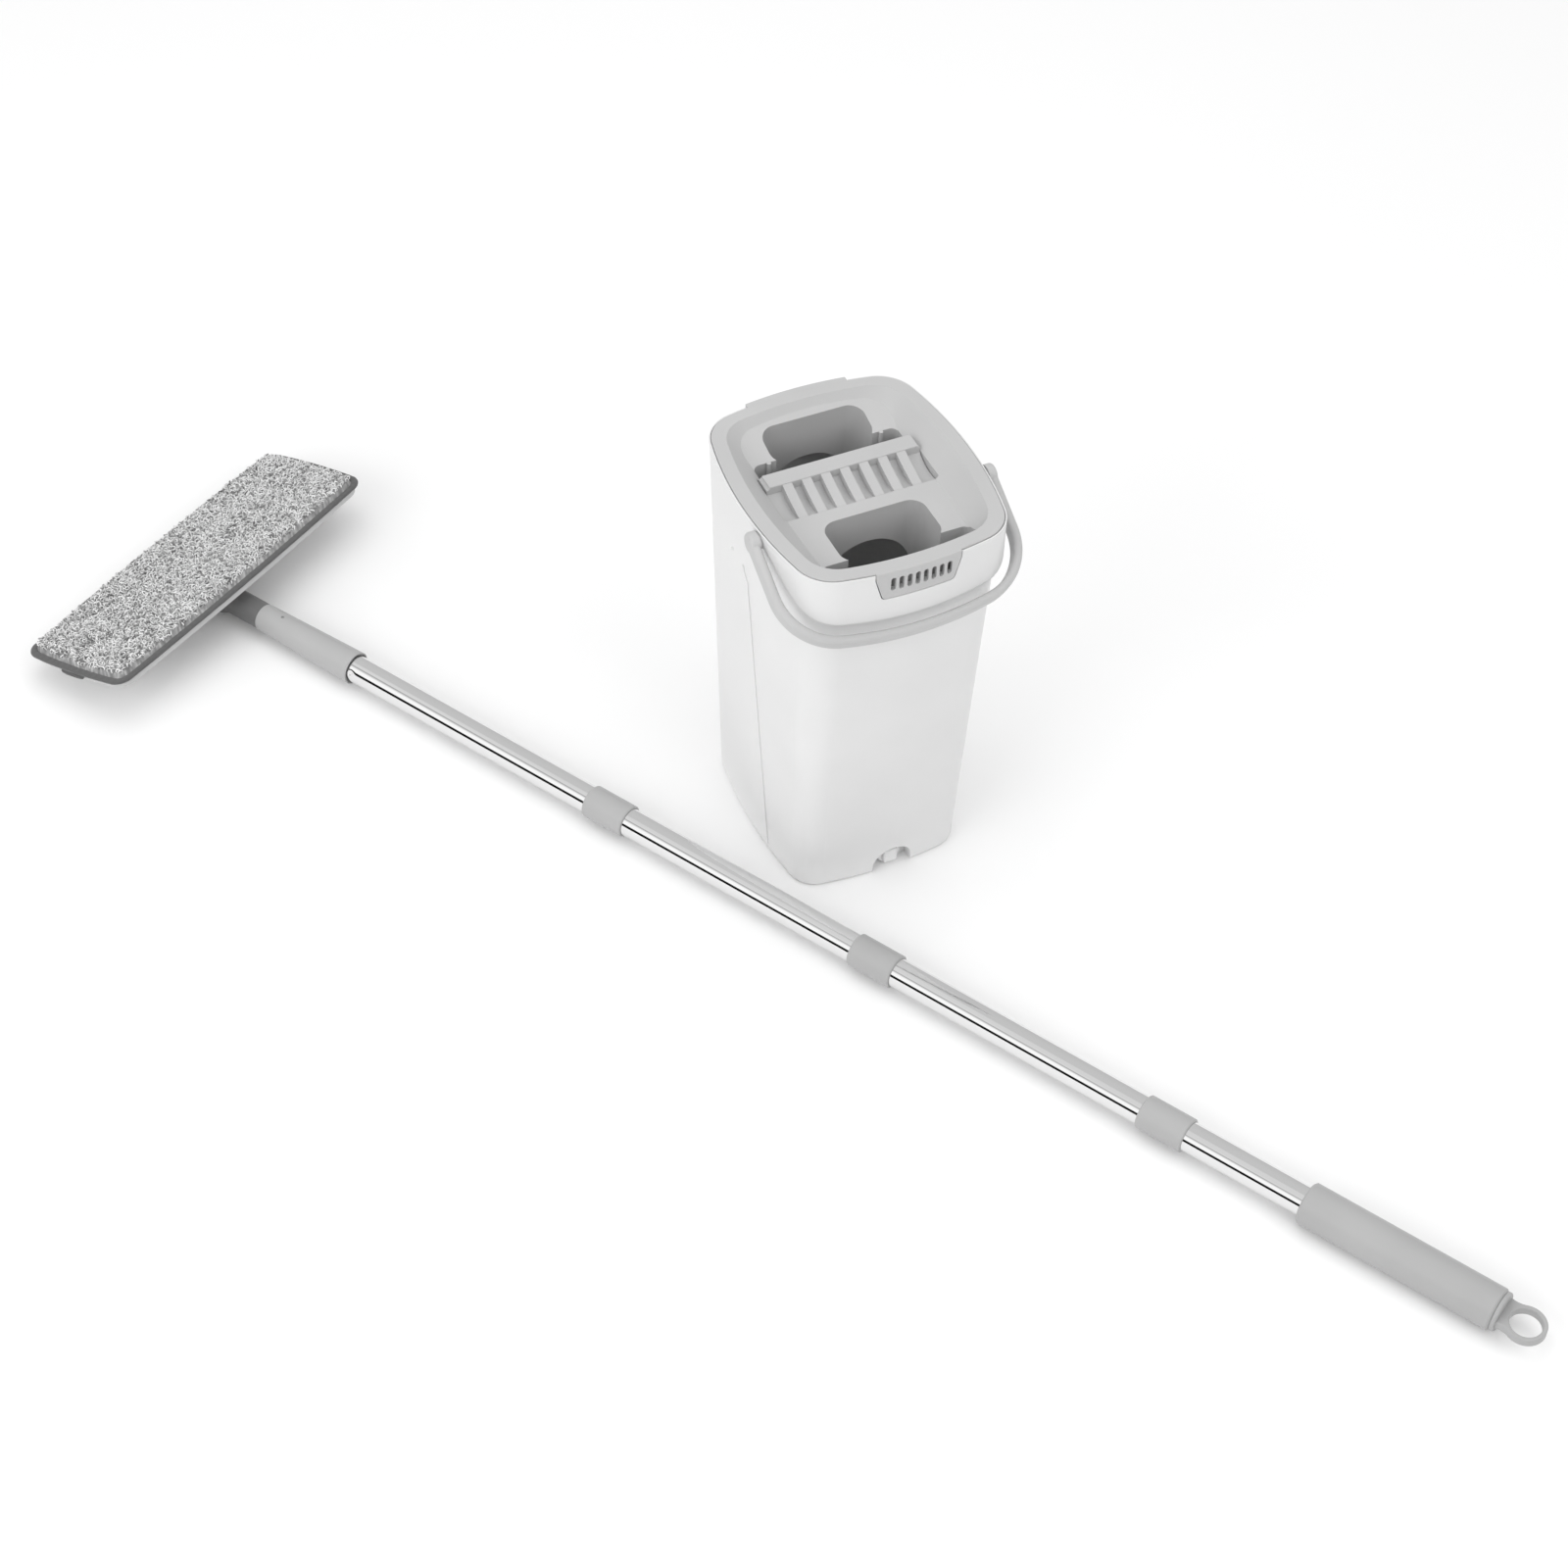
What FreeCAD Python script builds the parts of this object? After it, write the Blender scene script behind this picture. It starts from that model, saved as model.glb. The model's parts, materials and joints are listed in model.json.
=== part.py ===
import FreeCAD, Part
import os
from math import atan2, cos, pi, sin, sqrt

# Flat mop with a self-wringing bucket: a tall two-chamber bucket with a lift-out
# wringer, two sprung scrapers, a carry bail and a drain plug, and a flat mop with a
# four-piece tube pole that lies beside it.  Millimetres.  The origin is on the floor
# under the middle of the bucket's lid.  +X is the bucket's right, -Y its front.

V = FreeCAD.Vector
X_AXIS = V(1, 0, 0)
Y_AXIS = V(0, 1, 0)
Z_AXIS = V(0, 0, 1)
ORIGIN = V(0, 0, 0)

# ---- driving dimensions: bucket ----------------------------------------------------
LID_Z = 370.0            # top of the lid
RIM_Z = 366.0            # top of the white rim
WALL = 2.5
FLOOR_T = 3.0
GAP = 0.3                # between pieces of different bodies
UPSTAND = (1.1, 368.9)   # thickness and top of the white edge round the lid
LID_INSET = 1.7

# each outline: half width, half depth, centre y, shift of the side bows, bow radii, corner
LID_PLAN = dict(w=97.8, d=113.1, y=0.0, shift=0.0, r_side=370.0, r_end=320.0, r=34.0)
TOP_PLAN = dict(w=95.4, d=110.85, y=1.75, shift=7.4, r_side=370.0, r_end=320.0, r=33.0)
BASE_PLAN = dict(w=80.2, d=94.4, y=10.0, shift=0.0, r_side=470.0, r_end=350.0, r=24.0)
BASE_ROUND = 4.0

COLLAR_BACK_Z = 362.0    # lower edge of the rim behind the bail
COLLAR_KNEE_Y = -23.0    # where that edge starts to slope down
COLLAR_FRONT = (-112.0, 318.0)
COLLAR_ROUND = 3.4

BAIL_Y = -30.0
BAIL_Z = 359.5
BAIL_DROP = 29.5         # degrees below horizontal at rest
BAIL_REACH = 101.0       # pivot to the middle of the grip bar
BAIL_X = 101.9           # middle of an arm
BAIL_T = 7.4
BAIL_H = 15.0
BAIL_CORNER = 48.0
BAIL_BOW = 320.0
BAIL_ROUND = 3.5
HUB_R = 9.0
BOSS_R = 6.2
PEG_R = 4.0
PEG_CLEAR = 0.05

NOTCH_TOP = 36.0         # half width of the front tab at the lid
NOTCH_BOTTOM = 30.0
NOTCH_Z = 344.0
NOTCH_GAP = 0.7
TAB_T = 3.0
VENT_COUNT = 8
VENT_PITCH = 6.8
VENT_W = 4.2
VENT_Z = (351.0, 363.5)
VENT_X = 2.0

STRIP_TOP_Z = 305.0      # raised guide strip on each side wall
STRIP_PROUD = 0.9
PIP_Y = 26.0             # small raised dot beside the strip
PIP_R = 1.6

DRAIN_X = 8.0
DRAIN_Z = 11.5
DRAIN_R = 8.0
DRAIN_FACE_Y = -72.0
ARCH_R = 18.0
ARCH_Z = 7.0
PLUG_R = 10.5

# ---- driving dimensions: wringer insert --------------------------------------------
DECK_Z = 353.0
DECK_T = 2.4
FUNNEL_TOP = dict(w=84.0, d=100.0, y=0.8, shift=0.0, r_side=370.0, r_end=320.0, r=28.0)
FUNNEL_LOW = dict(w=64.0, d=89.0, y=-5.5, shift=0.0, r_side=900.0, r_end=700.0, r=22.0)
RAMP = (52.0, 103.0, 366.4)  # where the deck starts to rise at the back, and to what height
SKIRT_Z = 340.0
CHUTE_Z = 290.0
CHUTE_T = 2.2
SLIT_X = 63.0
WASH_SLIT = (37.0, 57.0)
WASH_WELL = (52.0, 88.0)
WASH_WELL_X = 44.5
DRY_SLIT = (-90.0, -70.0)
DRY_WELL = (-74.0, -25.0)
DRY_WELL_X = 43.0

SCRAPER_X = 66.4
TRAY_X = 67.0
TRAY_Y = (-11.5, 39.5)
TRAY_Z = 334.0
WASH_HINGE = (-5.0, 343.0)
RIB_COUNT = 7
RIB_PITCH = 16.4
RIB_W = 8.0
ROD_R = 2.0
WASH_SPRING_Y = 30.0
WASH_SPRING_X = 56.0
WASH_SPRING_TOP = 346.0

DRY_X = 55.0
DRY_TRAY_Y = (-107.5, -90.0)
DRY_TRAY_Z = 337.0
DRY_HINGE = (-95.5, 346.0)
DRY_SPRING_Y = -98.0
DRY_SPRING_X = 46.0

# ---- driving dimensions: mop -------------------------------------------------------
POLE_MOUTH = V(-330.6, 304.7, 17.6)   # axis of the pole where it leaves the sleeve
POLE_TURN = -60.86                    # degrees about +Z, from +X to the grip end
TUBE_R = 12.55
TUBE_WALL = 0.8
TUBE_START = -58.0
COLLARS = (266.5, 542.6, 818.8)
COLLAR_L = 41.0
COLLAR_R = 14.5
GRIP = (964.3, 1128.5)
GRIP_R = 17.5
TUBE_END = 1122.0
RING_R = 16.2
RING_BORE = 12.6
RING_T = 7.8
RING_X = 1150.8

SLEEVE_L = 110.0
MOUTH_GAP = (14.0, 2.2)     # radius and depth of the open step at the sleeve mouth
SLEEVE_R = (15.2, 12.5)
FORK_R = 12.3
FORK_HALF_Z = 11.0
SLOT_HALF_Z = 5.3
SWING_X = -158.0
PIN_R = 3.0
PIN_CLEAR = 0.05

HEAD_YAW = 2.75
HEAD_TILT = 11.2
TILT_BACK = 24.0                      # swing pin to tilt pin
BARREL_R = 8.0
BARREL_HALF = 12.4
TONGUE_R = 9.0
TONGUE_HALF = 5.0
EAR = (12.7, 18.5)
EAR_R = 8.5

PLATE_PLAN = dict(w=60.5, d=165.5, y=0.0, shift=0.0, r_side=4000.0, r_end=420.0, r=16.0)
PLATE_T = 5.0
PLATE_N = 15.5                        # tilt pin to the back of the plate
PLATE_RIM = 3.0
PLATE_SKIN = 2.0
BRACKET_T = 3.0
PAD_OVER = 1.0                         # how far the pad stands out past the plate
PAD_EDGE = 5.5
HOOK_T = 0.8
BACKING_T = 1.5
FLEECE_T = 8.5


# ---- helpers -----------------------------------------------------------------------
def save(shape, name):
    """Write one node's solids to its own STEP file."""
    shape.exportStep(os.path.join("parts", name + ".step"))
    print(name, len(shape.Solids), round(shape.Volume / 1000.0, 2), shape.isValid())


def box(low, high):
    size = V(*high) - V(*low)
    return Part.makeBox(size.x, size.y, size.z, V(*low))


def cylinder(radius, start, end):
    span = end - start
    return Part.makeCylinder(radius, span.Length, start, span)


def upright_edges(shape):
    """The straight edges of a prism that run along Z."""
    edges = []
    for edge in shape.Edges:
        ends = [v.Point for v in edge.Vertexes]
        if len(ends) == 2 and abs(ends[0].x - ends[1].x) + abs(ends[0].y - ends[1].y) < 1e-6:
            edges.append(edge)
    return edges


def rounded_box(low, high, radius):
    block = box(low, high)
    return block.makeFillet(radius, upright_edges(block))


def yz_prism(points, x_low, x_high):
    """A closed outline of (y, z) points carried from x_low to x_high."""
    corners = [V(x_low, y, z) for y, z in points]
    face = Part.Face(Part.makePolygon(corners + corners[:1]))
    return face.extrude(V(x_high - x_low, 0, 0))


def grown(plan, by):
    """The same outline moved outwards by a distance."""
    out = dict(plan)
    for key in ("w", "d", "r_side", "r_end", "r"):
        out[key] = plan[key] + by
    return out


def between(low, high, share):
    """An outline part of the way from one to another."""
    return {key: low[key] + (high[key] - low[key]) * share for key in low}


def corner_centre(c1, r1, c2, r2):
    """Where two circles cross, on the side away from the middle."""
    gap = c2 - c1
    along = (gap.Length ** 2 + r1 ** 2 - r2 ** 2) / (2 * gap.Length)
    height = sqrt(r1 ** 2 - along ** 2)
    unit = gap / gap.Length
    one = c1 + unit * along + V(-unit.y, unit.x, 0) * height
    two = c1 + unit * along - V(-unit.y, unit.x, 0) * height
    return one if one.x > two.x else two


def outline(plan, z):
    """A bowed rectangle: four long arcs joined by four tangent corner arcs."""
    side = V(plan["w"] - plan["r_side"], plan["y"] + plan["shift"], 0)
    marks = []
    for way in (1, -1):
        end = V(0, plan["y"] + way * (plan["d"] - plan["r_end"]), 0)
        mid = corner_centre(side, plan["r_side"] - plan["r"], end, plan["r_end"] - plan["r"])
        on_side = side + (mid - side).normalize() * plan["r_side"]
        on_end = end + (mid - end).normalize() * plan["r_end"]
        half = mid + ((on_side - mid) + (on_end - mid)).normalize() * plan["r"]
        marks.append((on_end, half, on_side))
    back, front = marks
    right = V(plan["w"], plan["y"] + plan["shift"], 0)
    top = V(0, plan["y"] + plan["d"], 0)
    low = V(0, plan["y"] - plan["d"], 0)

    def flip(p):
        return V(-p.x, p.y, 0)

    runs = [(back[2], back[1], back[0]), (back[0], top, flip(back[0])),
            (flip(back[0]), flip(back[1]), flip(back[2])), (flip(back[2]), flip(right), flip(front[2])),
            (flip(front[2]), flip(front[1]), flip(front[0])), (flip(front[0]), low, front[0]),
            (front[0], front[1], front[2]), (front[2], right, back[2])]
    lift = V(0, 0, z)
    edges = [Part.Arc(a + lift, b + lift, c + lift).toShape() for a, b, c in runs]
    return Part.Wire(edges)


def tub(low_plan, low_z, high_plan, high_z):
    """A solid between two outlines."""
    return Part.makeLoft([outline(low_plan, low_z), outline(high_plan, high_z)], True, True)


def slab(plan, low_z, high_z):
    return Part.Face(outline(plan, low_z)).extrude(V(0, 0, high_z - low_z))


def body_plan(z, by=0.0):
    """The bucket wall's outline at a height, moved outwards by a distance."""
    return grown(between(BASE_PLAN, TOP_PLAN, z / RIM_Z), by)


def fuse(first, *others):
    return first.multiFuse(list(others)).removeSplitter()


# ---- bucket ------------------------------------------------------------------------
def notch_prism(by, low_y, high_y):
    """The keystone shape of the front tab, carried along Y."""
    foot = NOTCH_Z - by
    top = LID_Z + 6.0
    corners = [V(-NOTCH_TOP - by, low_y, top), V(-NOTCH_TOP - by, low_y, LID_Z - 6.0),
               V(-NOTCH_BOTTOM - by, low_y, foot), V(NOTCH_BOTTOM + by, low_y, foot),
               V(NOTCH_TOP + by, low_y, LID_Z - 6.0), V(NOTCH_TOP + by, low_y, top)]
    prism = Part.Face(Part.makePolygon(corners + corners[:1])).extrude(V(0, high_y - low_y, 0))
    low_edges = [e for e in prism.Edges
                 if abs(e.BoundBox.YLength - (high_y - low_y)) < 1e-6 and e.BoundBox.ZMax < foot + 1]
    return prism.makeFillet(4.0, low_edges)


def bucket_collar():
    """The band over the bail, level behind and sloping to the front, with the edge round the lid."""
    thick, top_z = UPSTAND
    knee_y = COLLAR_KNEE_Y
    front_y, front_z = COLLAR_FRONT
    slope = (COLLAR_BACK_Z - front_z) / (knee_y - front_y)
    far_y = -130.0
    far_z = COLLAR_BACK_Z - slope * (knee_y - far_y)
    wedge = yz_prism([(130.0, COLLAR_BACK_Z), (knee_y, COLLAR_BACK_Z), (far_y, far_z),
                      (far_y, top_z), (130.0, top_z)], -110.0, 110.0)
    band = slab(LID_PLAN, far_z, top_z).common(wedge)
    low_edges = []
    for edge in band.Edges:
        line = COLLAR_BACK_Z - slope * max(0.0, knee_y - edge.CenterOfMass.y)
        if edge.CenterOfMass.z < line + 1.0 and edge.BoundBox.XLength < 190.0:
            low_edges.append(edge)
    band = band.makeFillet(COLLAR_ROUND, low_edges)
    band = band.cut(slab(grown(LID_PLAN, -thick), RIM_Z, top_z + 1))
    return band.cut(box((-45.0, 98.0, RIM_Z), (45.0, 125.0, top_z + 1)))


def side_strip(way):
    """A shallow raised strip with a pointed top on one side wall."""
    points = [(13.0, STRIP_TOP_Z - 22.0), (6.0, STRIP_TOP_Z), (-3.0, STRIP_TOP_Z - 14.0),
              (-25.0, 8.0), (-5.0, 8.0)]
    prism = yz_prism(points, *sorted((way * 60.0, way * 110.0)))
    skin = tub(body_plan(0.0, STRIP_PROUD), 0.0, body_plan(RIM_Z, STRIP_PROUD), RIM_Z)
    return prism.common(skin)


def bucket_body():
    shell = tub(BASE_PLAN, 0.0, TOP_PLAN, RIM_Z)
    foot = [e for e in shell.Edges if e.BoundBox.ZMax < 0.01]
    shell = shell.makeFillet(BASE_ROUND, foot)
    shell = shell.fuse(bucket_collar())
    for way in (-1, 1):
        shell = shell.fuse(side_strip(way))
        boss = cylinder(BOSS_R, V(way * 90.9, BAIL_Y, BAIL_Z), V(way * 98.0, BAIL_Y, BAIL_Z))
        shell = shell.fuse(boss)
    cavity = tub(body_plan(FLOOR_T, -WALL), FLOOR_T, body_plan(RIM_Z + 1, -WALL), RIM_Z + 1)
    drain_back = DRAIN_FACE_Y + WALL + 0.5
    arch_outer = Part.makeCylinder(ARCH_R + WALL, drain_back + 95.0, V(DRAIN_X, -95.0, ARCH_Z), Y_AXIS)
    pier = box((DRAIN_X - ARCH_R - WALL, -95.0, 0), (DRAIN_X + ARCH_R + WALL, drain_back, ARCH_Z))
    cavity = cavity.cut(arch_outer).cut(pier)
    shell = shell.cut(cavity)
    arch = Part.makeCylinder(ARCH_R, DRAIN_FACE_Y + 100.0, V(DRAIN_X, -100.0, ARCH_Z), Y_AXIS)
    gate = box((DRAIN_X - ARCH_R, -100.0, -1.0), (DRAIN_X + ARCH_R, DRAIN_FACE_Y, ARCH_Z))
    drain = cylinder(DRAIN_R, V(DRAIN_X, DRAIN_FACE_Y - 1, DRAIN_Z), V(DRAIN_X, drain_back + 1, DRAIN_Z))
    shell = shell.cut(arch).cut(gate).cut(drain)
    shell = shell.cut(notch_prism(NOTCH_GAP, -125.0, -98.0))
    for way in (-1, 1):
        socket = cylinder(PEG_R + PEG_CLEAR, V(way * 91.4, BAIL_Y, BAIL_Z), V(way * 99.0, BAIL_Y, BAIL_Z))
        shell = shell.cut(socket)
        plan = body_plan(STRIP_TOP_Z)
        bow = (PIP_Y - plan["y"] - plan["shift"]) ** 2 / (2 * plan["r_side"])
        pip = Part.makeSphere(PIP_R, V(way * (plan["w"] - bow), PIP_Y, STRIP_TOP_Z))
        shell = shell.fuse(pip)
    return shell.removeSplitter()


def drain_plug():
    face = DRAIN_FACE_Y - 1.25
    head = cylinder(PLUG_R, V(DRAIN_X, face, DRAIN_Z), V(DRAIN_X, face - 5.0, DRAIN_Z))
    rim = [e for e in head.Edges if e.BoundBox.YMax < face - 4.9 and e.Length > 10]
    head = head.makeFillet(1.6, rim)
    tab = box((DRAIN_X - 6.5, face - 9.5, DRAIN_Z - 7.0), (DRAIN_X + 6.5, face - 3.0, DRAIN_Z + 7.0))
    tab = tab.makeFillet(2.4, [e for e in tab.Edges if e.BoundBox.YMin < face - 4.0])
    stem = cylinder(DRAIN_R - 0.08, V(DRAIN_X, face - 1, DRAIN_Z), V(DRAIN_X, DRAIN_FACE_Y + 6.0, DRAIN_Z))
    hollow = cylinder(5.6, V(DRAIN_X, face, DRAIN_Z), V(DRAIN_X, DRAIN_FACE_Y + 7.0, DRAIN_Z))
    return fuse(head, tab, stem.cut(hollow))


def plug_seal():
    start = V(DRAIN_X, DRAIN_FACE_Y - 1.2, DRAIN_Z)
    end = V(DRAIN_X, DRAIN_FACE_Y - 0.2, DRAIN_Z)
    return cylinder(9.8, start, end).cut(cylinder(DRAIN_R, start - Y_AXIS, end + Y_AXIS))


def bail_edge(by):
    """One long edge of the bail strap, from its left hub round the front to the right."""
    bow = BAIL_BOW + by
    corner = BAIL_CORNER + by
    side = BAIL_X + by
    bow_y = -(BAIL_REACH - BAIL_BOW)
    cx = BAIL_X - BAIL_CORNER
    cy = bow_y - sqrt((BAIL_BOW - BAIL_CORNER) ** 2 - cx ** 2)
    lean = atan2(cx, bow_y - cy)
    on_bow = V(bow * sin(lean), bow_y - bow * cos(lean), 0)
    half = (pi / 2 + lean) / 2
    mid = V(cx + corner * sin(half), cy - corner * cos(half), 0)
    start = V(side, 0, 0)
    knee = V(side, cy, 0)

    def flip(p):
        return V(-p.x, p.y, 0)

    return [Part.LineSegment(flip(start), flip(knee)).toShape(),
            Part.Arc(flip(knee), flip(mid), flip(on_bow)).toShape(),
            Part.Arc(flip(on_bow), V(0, bow_y - bow, 0), on_bow).toShape(),
            Part.Arc(on_bow, mid, knee).toShape(), Part.LineSegment(knee, start).toShape()]


def carry_handle():
    half = BAIL_T / 2
    outer = bail_edge(half)
    inner = bail_edge(-half)
    caps = [Part.LineSegment(V(way * (BAIL_X + half), 0, 0), V(way * (BAIL_X - half), 0, 0)).toShape()
            for way in (-1, 1)]
    wire = Part.Wire(Part.__sortEdges__(outer + inner + caps))
    strap = Part.Face(wire).extrude(V(0, 0, BAIL_H))
    strap.translate(V(0, 0, -BAIL_H / 2))
    rails = [e for e in strap.Edges
             if e.BoundBox.ZLength < 0.01 and not (e.BoundBox.YLength < 0.01 and e.BoundBox.YMax > -1)]
    strap = strap.makeFillet(BAIL_ROUND, rails)
    pieces = []
    for way in (-1, 1):
        inner_x = way * (BAIL_X - half)
        outer_x = way * (BAIL_X + half)
        hub = cylinder(HUB_R, V(inner_x, 0, 0), V(outer_x, 0, 0))
        rim = [e for e in hub.Edges if e.BoundBox.XLength < 0.01 and abs(e.BoundBox.XMax - outer_x) < 0.01]
        pieces.append(hub.makeFillet(2.4, rim))
        pieces.append(cylinder(PEG_R, V(inner_x + way, 0, 0), V(way * 91.7, 0, 0)))
    bail = fuse(strap, *pieces)
    bail.rotate(ORIGIN, X_AXIS, BAIL_DROP)
    bail.translate(V(0, BAIL_Y, BAIL_Z))
    return bail


# ---- wringer insert ----------------------------------------------------------------
def well(slit, back, back_x, by, low_z, high_z):
    """A T-shaped well: a wide slit for the mop plate and a room for the pole behind it."""
    wide = rounded_box((-SLIT_X - by, slit[0] - by, low_z), (SLIT_X + by, slit[1] + by, high_z), 6.0 + by)
    room = rounded_box((-back_x - by, back[0] - by, low_z), (back_x + by, back[1] + by, high_z), 13.0 + by)
    return wide.fuse(room).removeSplitter()


def deck_ramp(lift):
    """The space under the part of the deck that rises towards the back."""
    start, end, top = RAMP
    return yz_prism([(start, DECK_Z - 20.0), (start, DECK_Z + lift), (end, top + lift), (end, DECK_Z - 20.0)],
                    -100.0, 100.0)


def vent_slots():
    """The row of round-ended slots through the front tab and the skirt behind it."""
    slots = []
    for i in range(VENT_COUNT):
        x = VENT_X + (i - (VENT_COUNT - 1) / 2) * VENT_PITCH
        low, high = VENT_Z[0] + VENT_W / 2, VENT_Z[1] - VENT_W / 2
        slot = box((x - VENT_W / 2, -125.0, low), (x + VENT_W / 2, -101.0, high))
        for z in (low, high):
            slot = slot.fuse(Part.makeCylinder(VENT_W / 2, 24.0, V(x, -125.0, z), Y_AXIS))
        slots.append(slot)
    return slots


def front_tab():
    """The keystone tab that hangs over the bucket's front."""
    skin = slab(LID_PLAN, NOTCH_Z - 2, LID_Z).cut(slab(grown(LID_PLAN, -TAB_T), NOTCH_Z - 3, LID_Z + 1))
    return skin.common(notch_prism(0.0, -125.0, -98.0))


def wringer_insert():
    lid = slab(grown(LID_PLAN, -LID_INSET), RIM_Z + GAP, LID_Z)
    top_edges = [e for e in lid.Edges if e.BoundBox.ZMin > LID_Z - 0.01]
    lid = lid.makeFillet(0.8, top_edges)
    hanger = slab(grown(LID_PLAN, 2.8), 356.0, LID_Z - 0.4)
    hanger = hanger.cut(slab(grown(LID_PLAN, 0.4), 355.0, RIM_Z + GAP))
    hanger = hanger.common(rounded_box((-43.7, 104.0, 355.0), (43.7, 120.0, LID_Z), 2.0))
    dish = tub(grown(FUNNEL_LOW, DECK_T), DECK_Z - DECK_T, grown(FUNNEL_TOP, DECK_T), LID_Z - 1)
    dish = dish.cut(deck_ramp(-DECK_T - 0.2))
    skirt_plan = body_plan(SKIRT_Z, -WALL - 0.6)
    skirt = tub(skirt_plan, SKIRT_Z, body_plan(RIM_Z, -WALL - 0.6), RIM_Z + 1)
    skirt = skirt.cut(tub(grown(skirt_plan, -2.0), SKIRT_Z - 1, body_plan(RIM_Z, -WALL - 2.6), RIM_Z + 1))
    wash = well(WASH_SLIT, WASH_WELL, WASH_WELL_X, CHUTE_T, CHUTE_Z, LID_Z - 2)
    dry = well(DRY_SLIT, DRY_WELL, DRY_WELL_X, CHUTE_T, CHUTE_Z, LID_Z - 2)
    tray = box((-TRAY_X - DECK_T, TRAY_Y[0] - DECK_T, TRAY_Z - DECK_T),
               (TRAY_X + DECK_T, TRAY_Y[1], DECK_Z))
    dry_tray = box((-DRY_X - 3.0, DRY_TRAY_Y[0], DRY_TRAY_Z - DECK_T),
                   (DRY_X + 3.0, DRY_TRAY_Y[1] + 1, LID_Z - 1))
    dry_tray = dry_tray.common(tub(body_plan(SKIRT_Z - 10, -WALL - 0.6), SKIRT_Z - 10,
                                   body_plan(RIM_Z, -WALL - 0.6), RIM_Z))
    solid = fuse(lid, dish, skirt, wash, dry, tray, dry_tray, hanger, front_tab())

    funnel = tub(FUNNEL_LOW, DECK_Z, FUNNEL_TOP, LID_Z + 0.01).cut(deck_ramp(0.0))
    tray_hole = box((-TRAY_X, TRAY_Y[0], TRAY_Z), (TRAY_X, TRAY_Y[1], LID_Z))
    dry_hole = box((-DRY_X - 0.6, DRY_TRAY_Y[0], DRY_TRAY_Z), (DRY_X + 0.6, DRY_TRAY_Y[1] + 3, 363.5))
    cuts = [funnel, tray_hole, dry_hole,
            well(WASH_SLIT, WASH_WELL, WASH_WELL_X, 0.0, CHUTE_Z - 1, LID_Z + 1),
            well(DRY_SLIT, DRY_WELL, DRY_WELL_X, 0.0, CHUTE_Z - 1, LID_Z - 8)]
    cuts += vent_slots()
    for y_low, y_high in ((WASH_SLIT[0] - 5, WASH_WELL[1] + 5), (DRY_SLIT[0] - 5, DRY_WELL[1] + 5)):
        cuts.append(Part.makeCylinder(38.0, y_high - y_low, V(0, y_low, CHUTE_Z - 6), Y_AXIS))
    for hinge, reach in ((WASH_HINGE, TRAY_X + 4), (DRY_HINGE, DRY_X + 4)):
        cuts.append(cylinder(ROD_R + 0.02, V(-reach, *hinge), V(reach, *hinge)))
    result = solid
    for shape in cuts:
        result = result.cut(shape)
    result = result.removeSplitter()
    for way in (-1, 1):
        post = cylinder(1.8, V(way * 49.0, WASH_SLIT[1] - 1.6, DECK_Z - 16), V(way * 49.0, WASH_SLIT[1] - 1.6, DECK_Z + 2))
        result = result.fuse(post)
    return result.removeSplitter()


def comb_face(x_low, x_high, crest, floor_mid, front_z):
    """A slice of the scraper whose top runs from the bar down to the front edge."""
    back_y = 36.5
    bar_y = 21.0
    front_y = TRAY_Y[0] + 0.7
    hinge_y, hinge_z = WASH_HINGE
    start = V(x_low, bar_y, crest)
    end = V(x_low, front_y, front_z)
    mid = V(x_low, (bar_y + front_y) / 2, floor_mid)
    low = hinge_z - 4.5
    edges = [Part.LineSegment(V(x_low, back_y, 362), V(x_low, bar_y, 362)).toShape(),
             Part.LineSegment(V(x_low, bar_y, 362), start).toShape(),
             Part.Arc(start, mid, end).toShape(),
             Part.LineSegment(end, V(x_low, front_y, hinge_z)).toShape(),
             Part.LineSegment(V(x_low, front_y, hinge_z), V(x_low, hinge_y - 2, low)).toShape(),
             Part.LineSegment(V(x_low, hinge_y - 2, low), V(x_low, hinge_y + 6, low)).toShape(),
             Part.LineSegment(V(x_low, hinge_y + 6, low), V(x_low, 22, WASH_SPRING_TOP)).toShape(),
             Part.LineSegment(V(x_low, 22, WASH_SPRING_TOP), V(x_low, back_y, WASH_SPRING_TOP)).toShape(),
             Part.LineSegment(V(x_low, back_y, WASH_SPRING_TOP), V(x_low, back_y, 362)).toShape()]
    return Part.Face(Part.Wire(edges)).extrude(V(x_high - x_low, 0, 0))


def wash_scraper():
    comb = comb_face(-SCRAPER_X, SCRAPER_X, 354.5, 348.2, 350.5)
    for i in range(RIB_COUNT):
        x = (i - (RIB_COUNT - 1) / 2) * RIB_PITCH
        comb = comb.fuse(comb_face(x - RIB_W / 2, x + RIB_W / 2, 361.0, 355.6, 351.8))
    comb = comb.removeSplitter()
    for way in (-1, 1):
        points = [(36.6, 360.0), (21.0, 360.0), (21.0, 363.0), (36.6, 363.0)]
        bevel = yz_prism(points, *sorted((way * (SCRAPER_X - 2.0), way * (SCRAPER_X + 2.0))))
        bevel.rotate(V(way * (SCRAPER_X - 1.2), 30.0, 362.0), Y_AXIS, way * 35.0)
        comb = comb.cut(bevel)
    bore = cylinder(ROD_R + PIN_CLEAR, V(-SCRAPER_X - 1, *WASH_HINGE), V(SCRAPER_X + 1, *WASH_HINGE))
    lip = [e for e in comb.Edges if e.BoundBox.XLength > 100 and e.BoundBox.ZMin > 361.9]
    return comb.makeFillet(0.9, lip).cut(bore)


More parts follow.
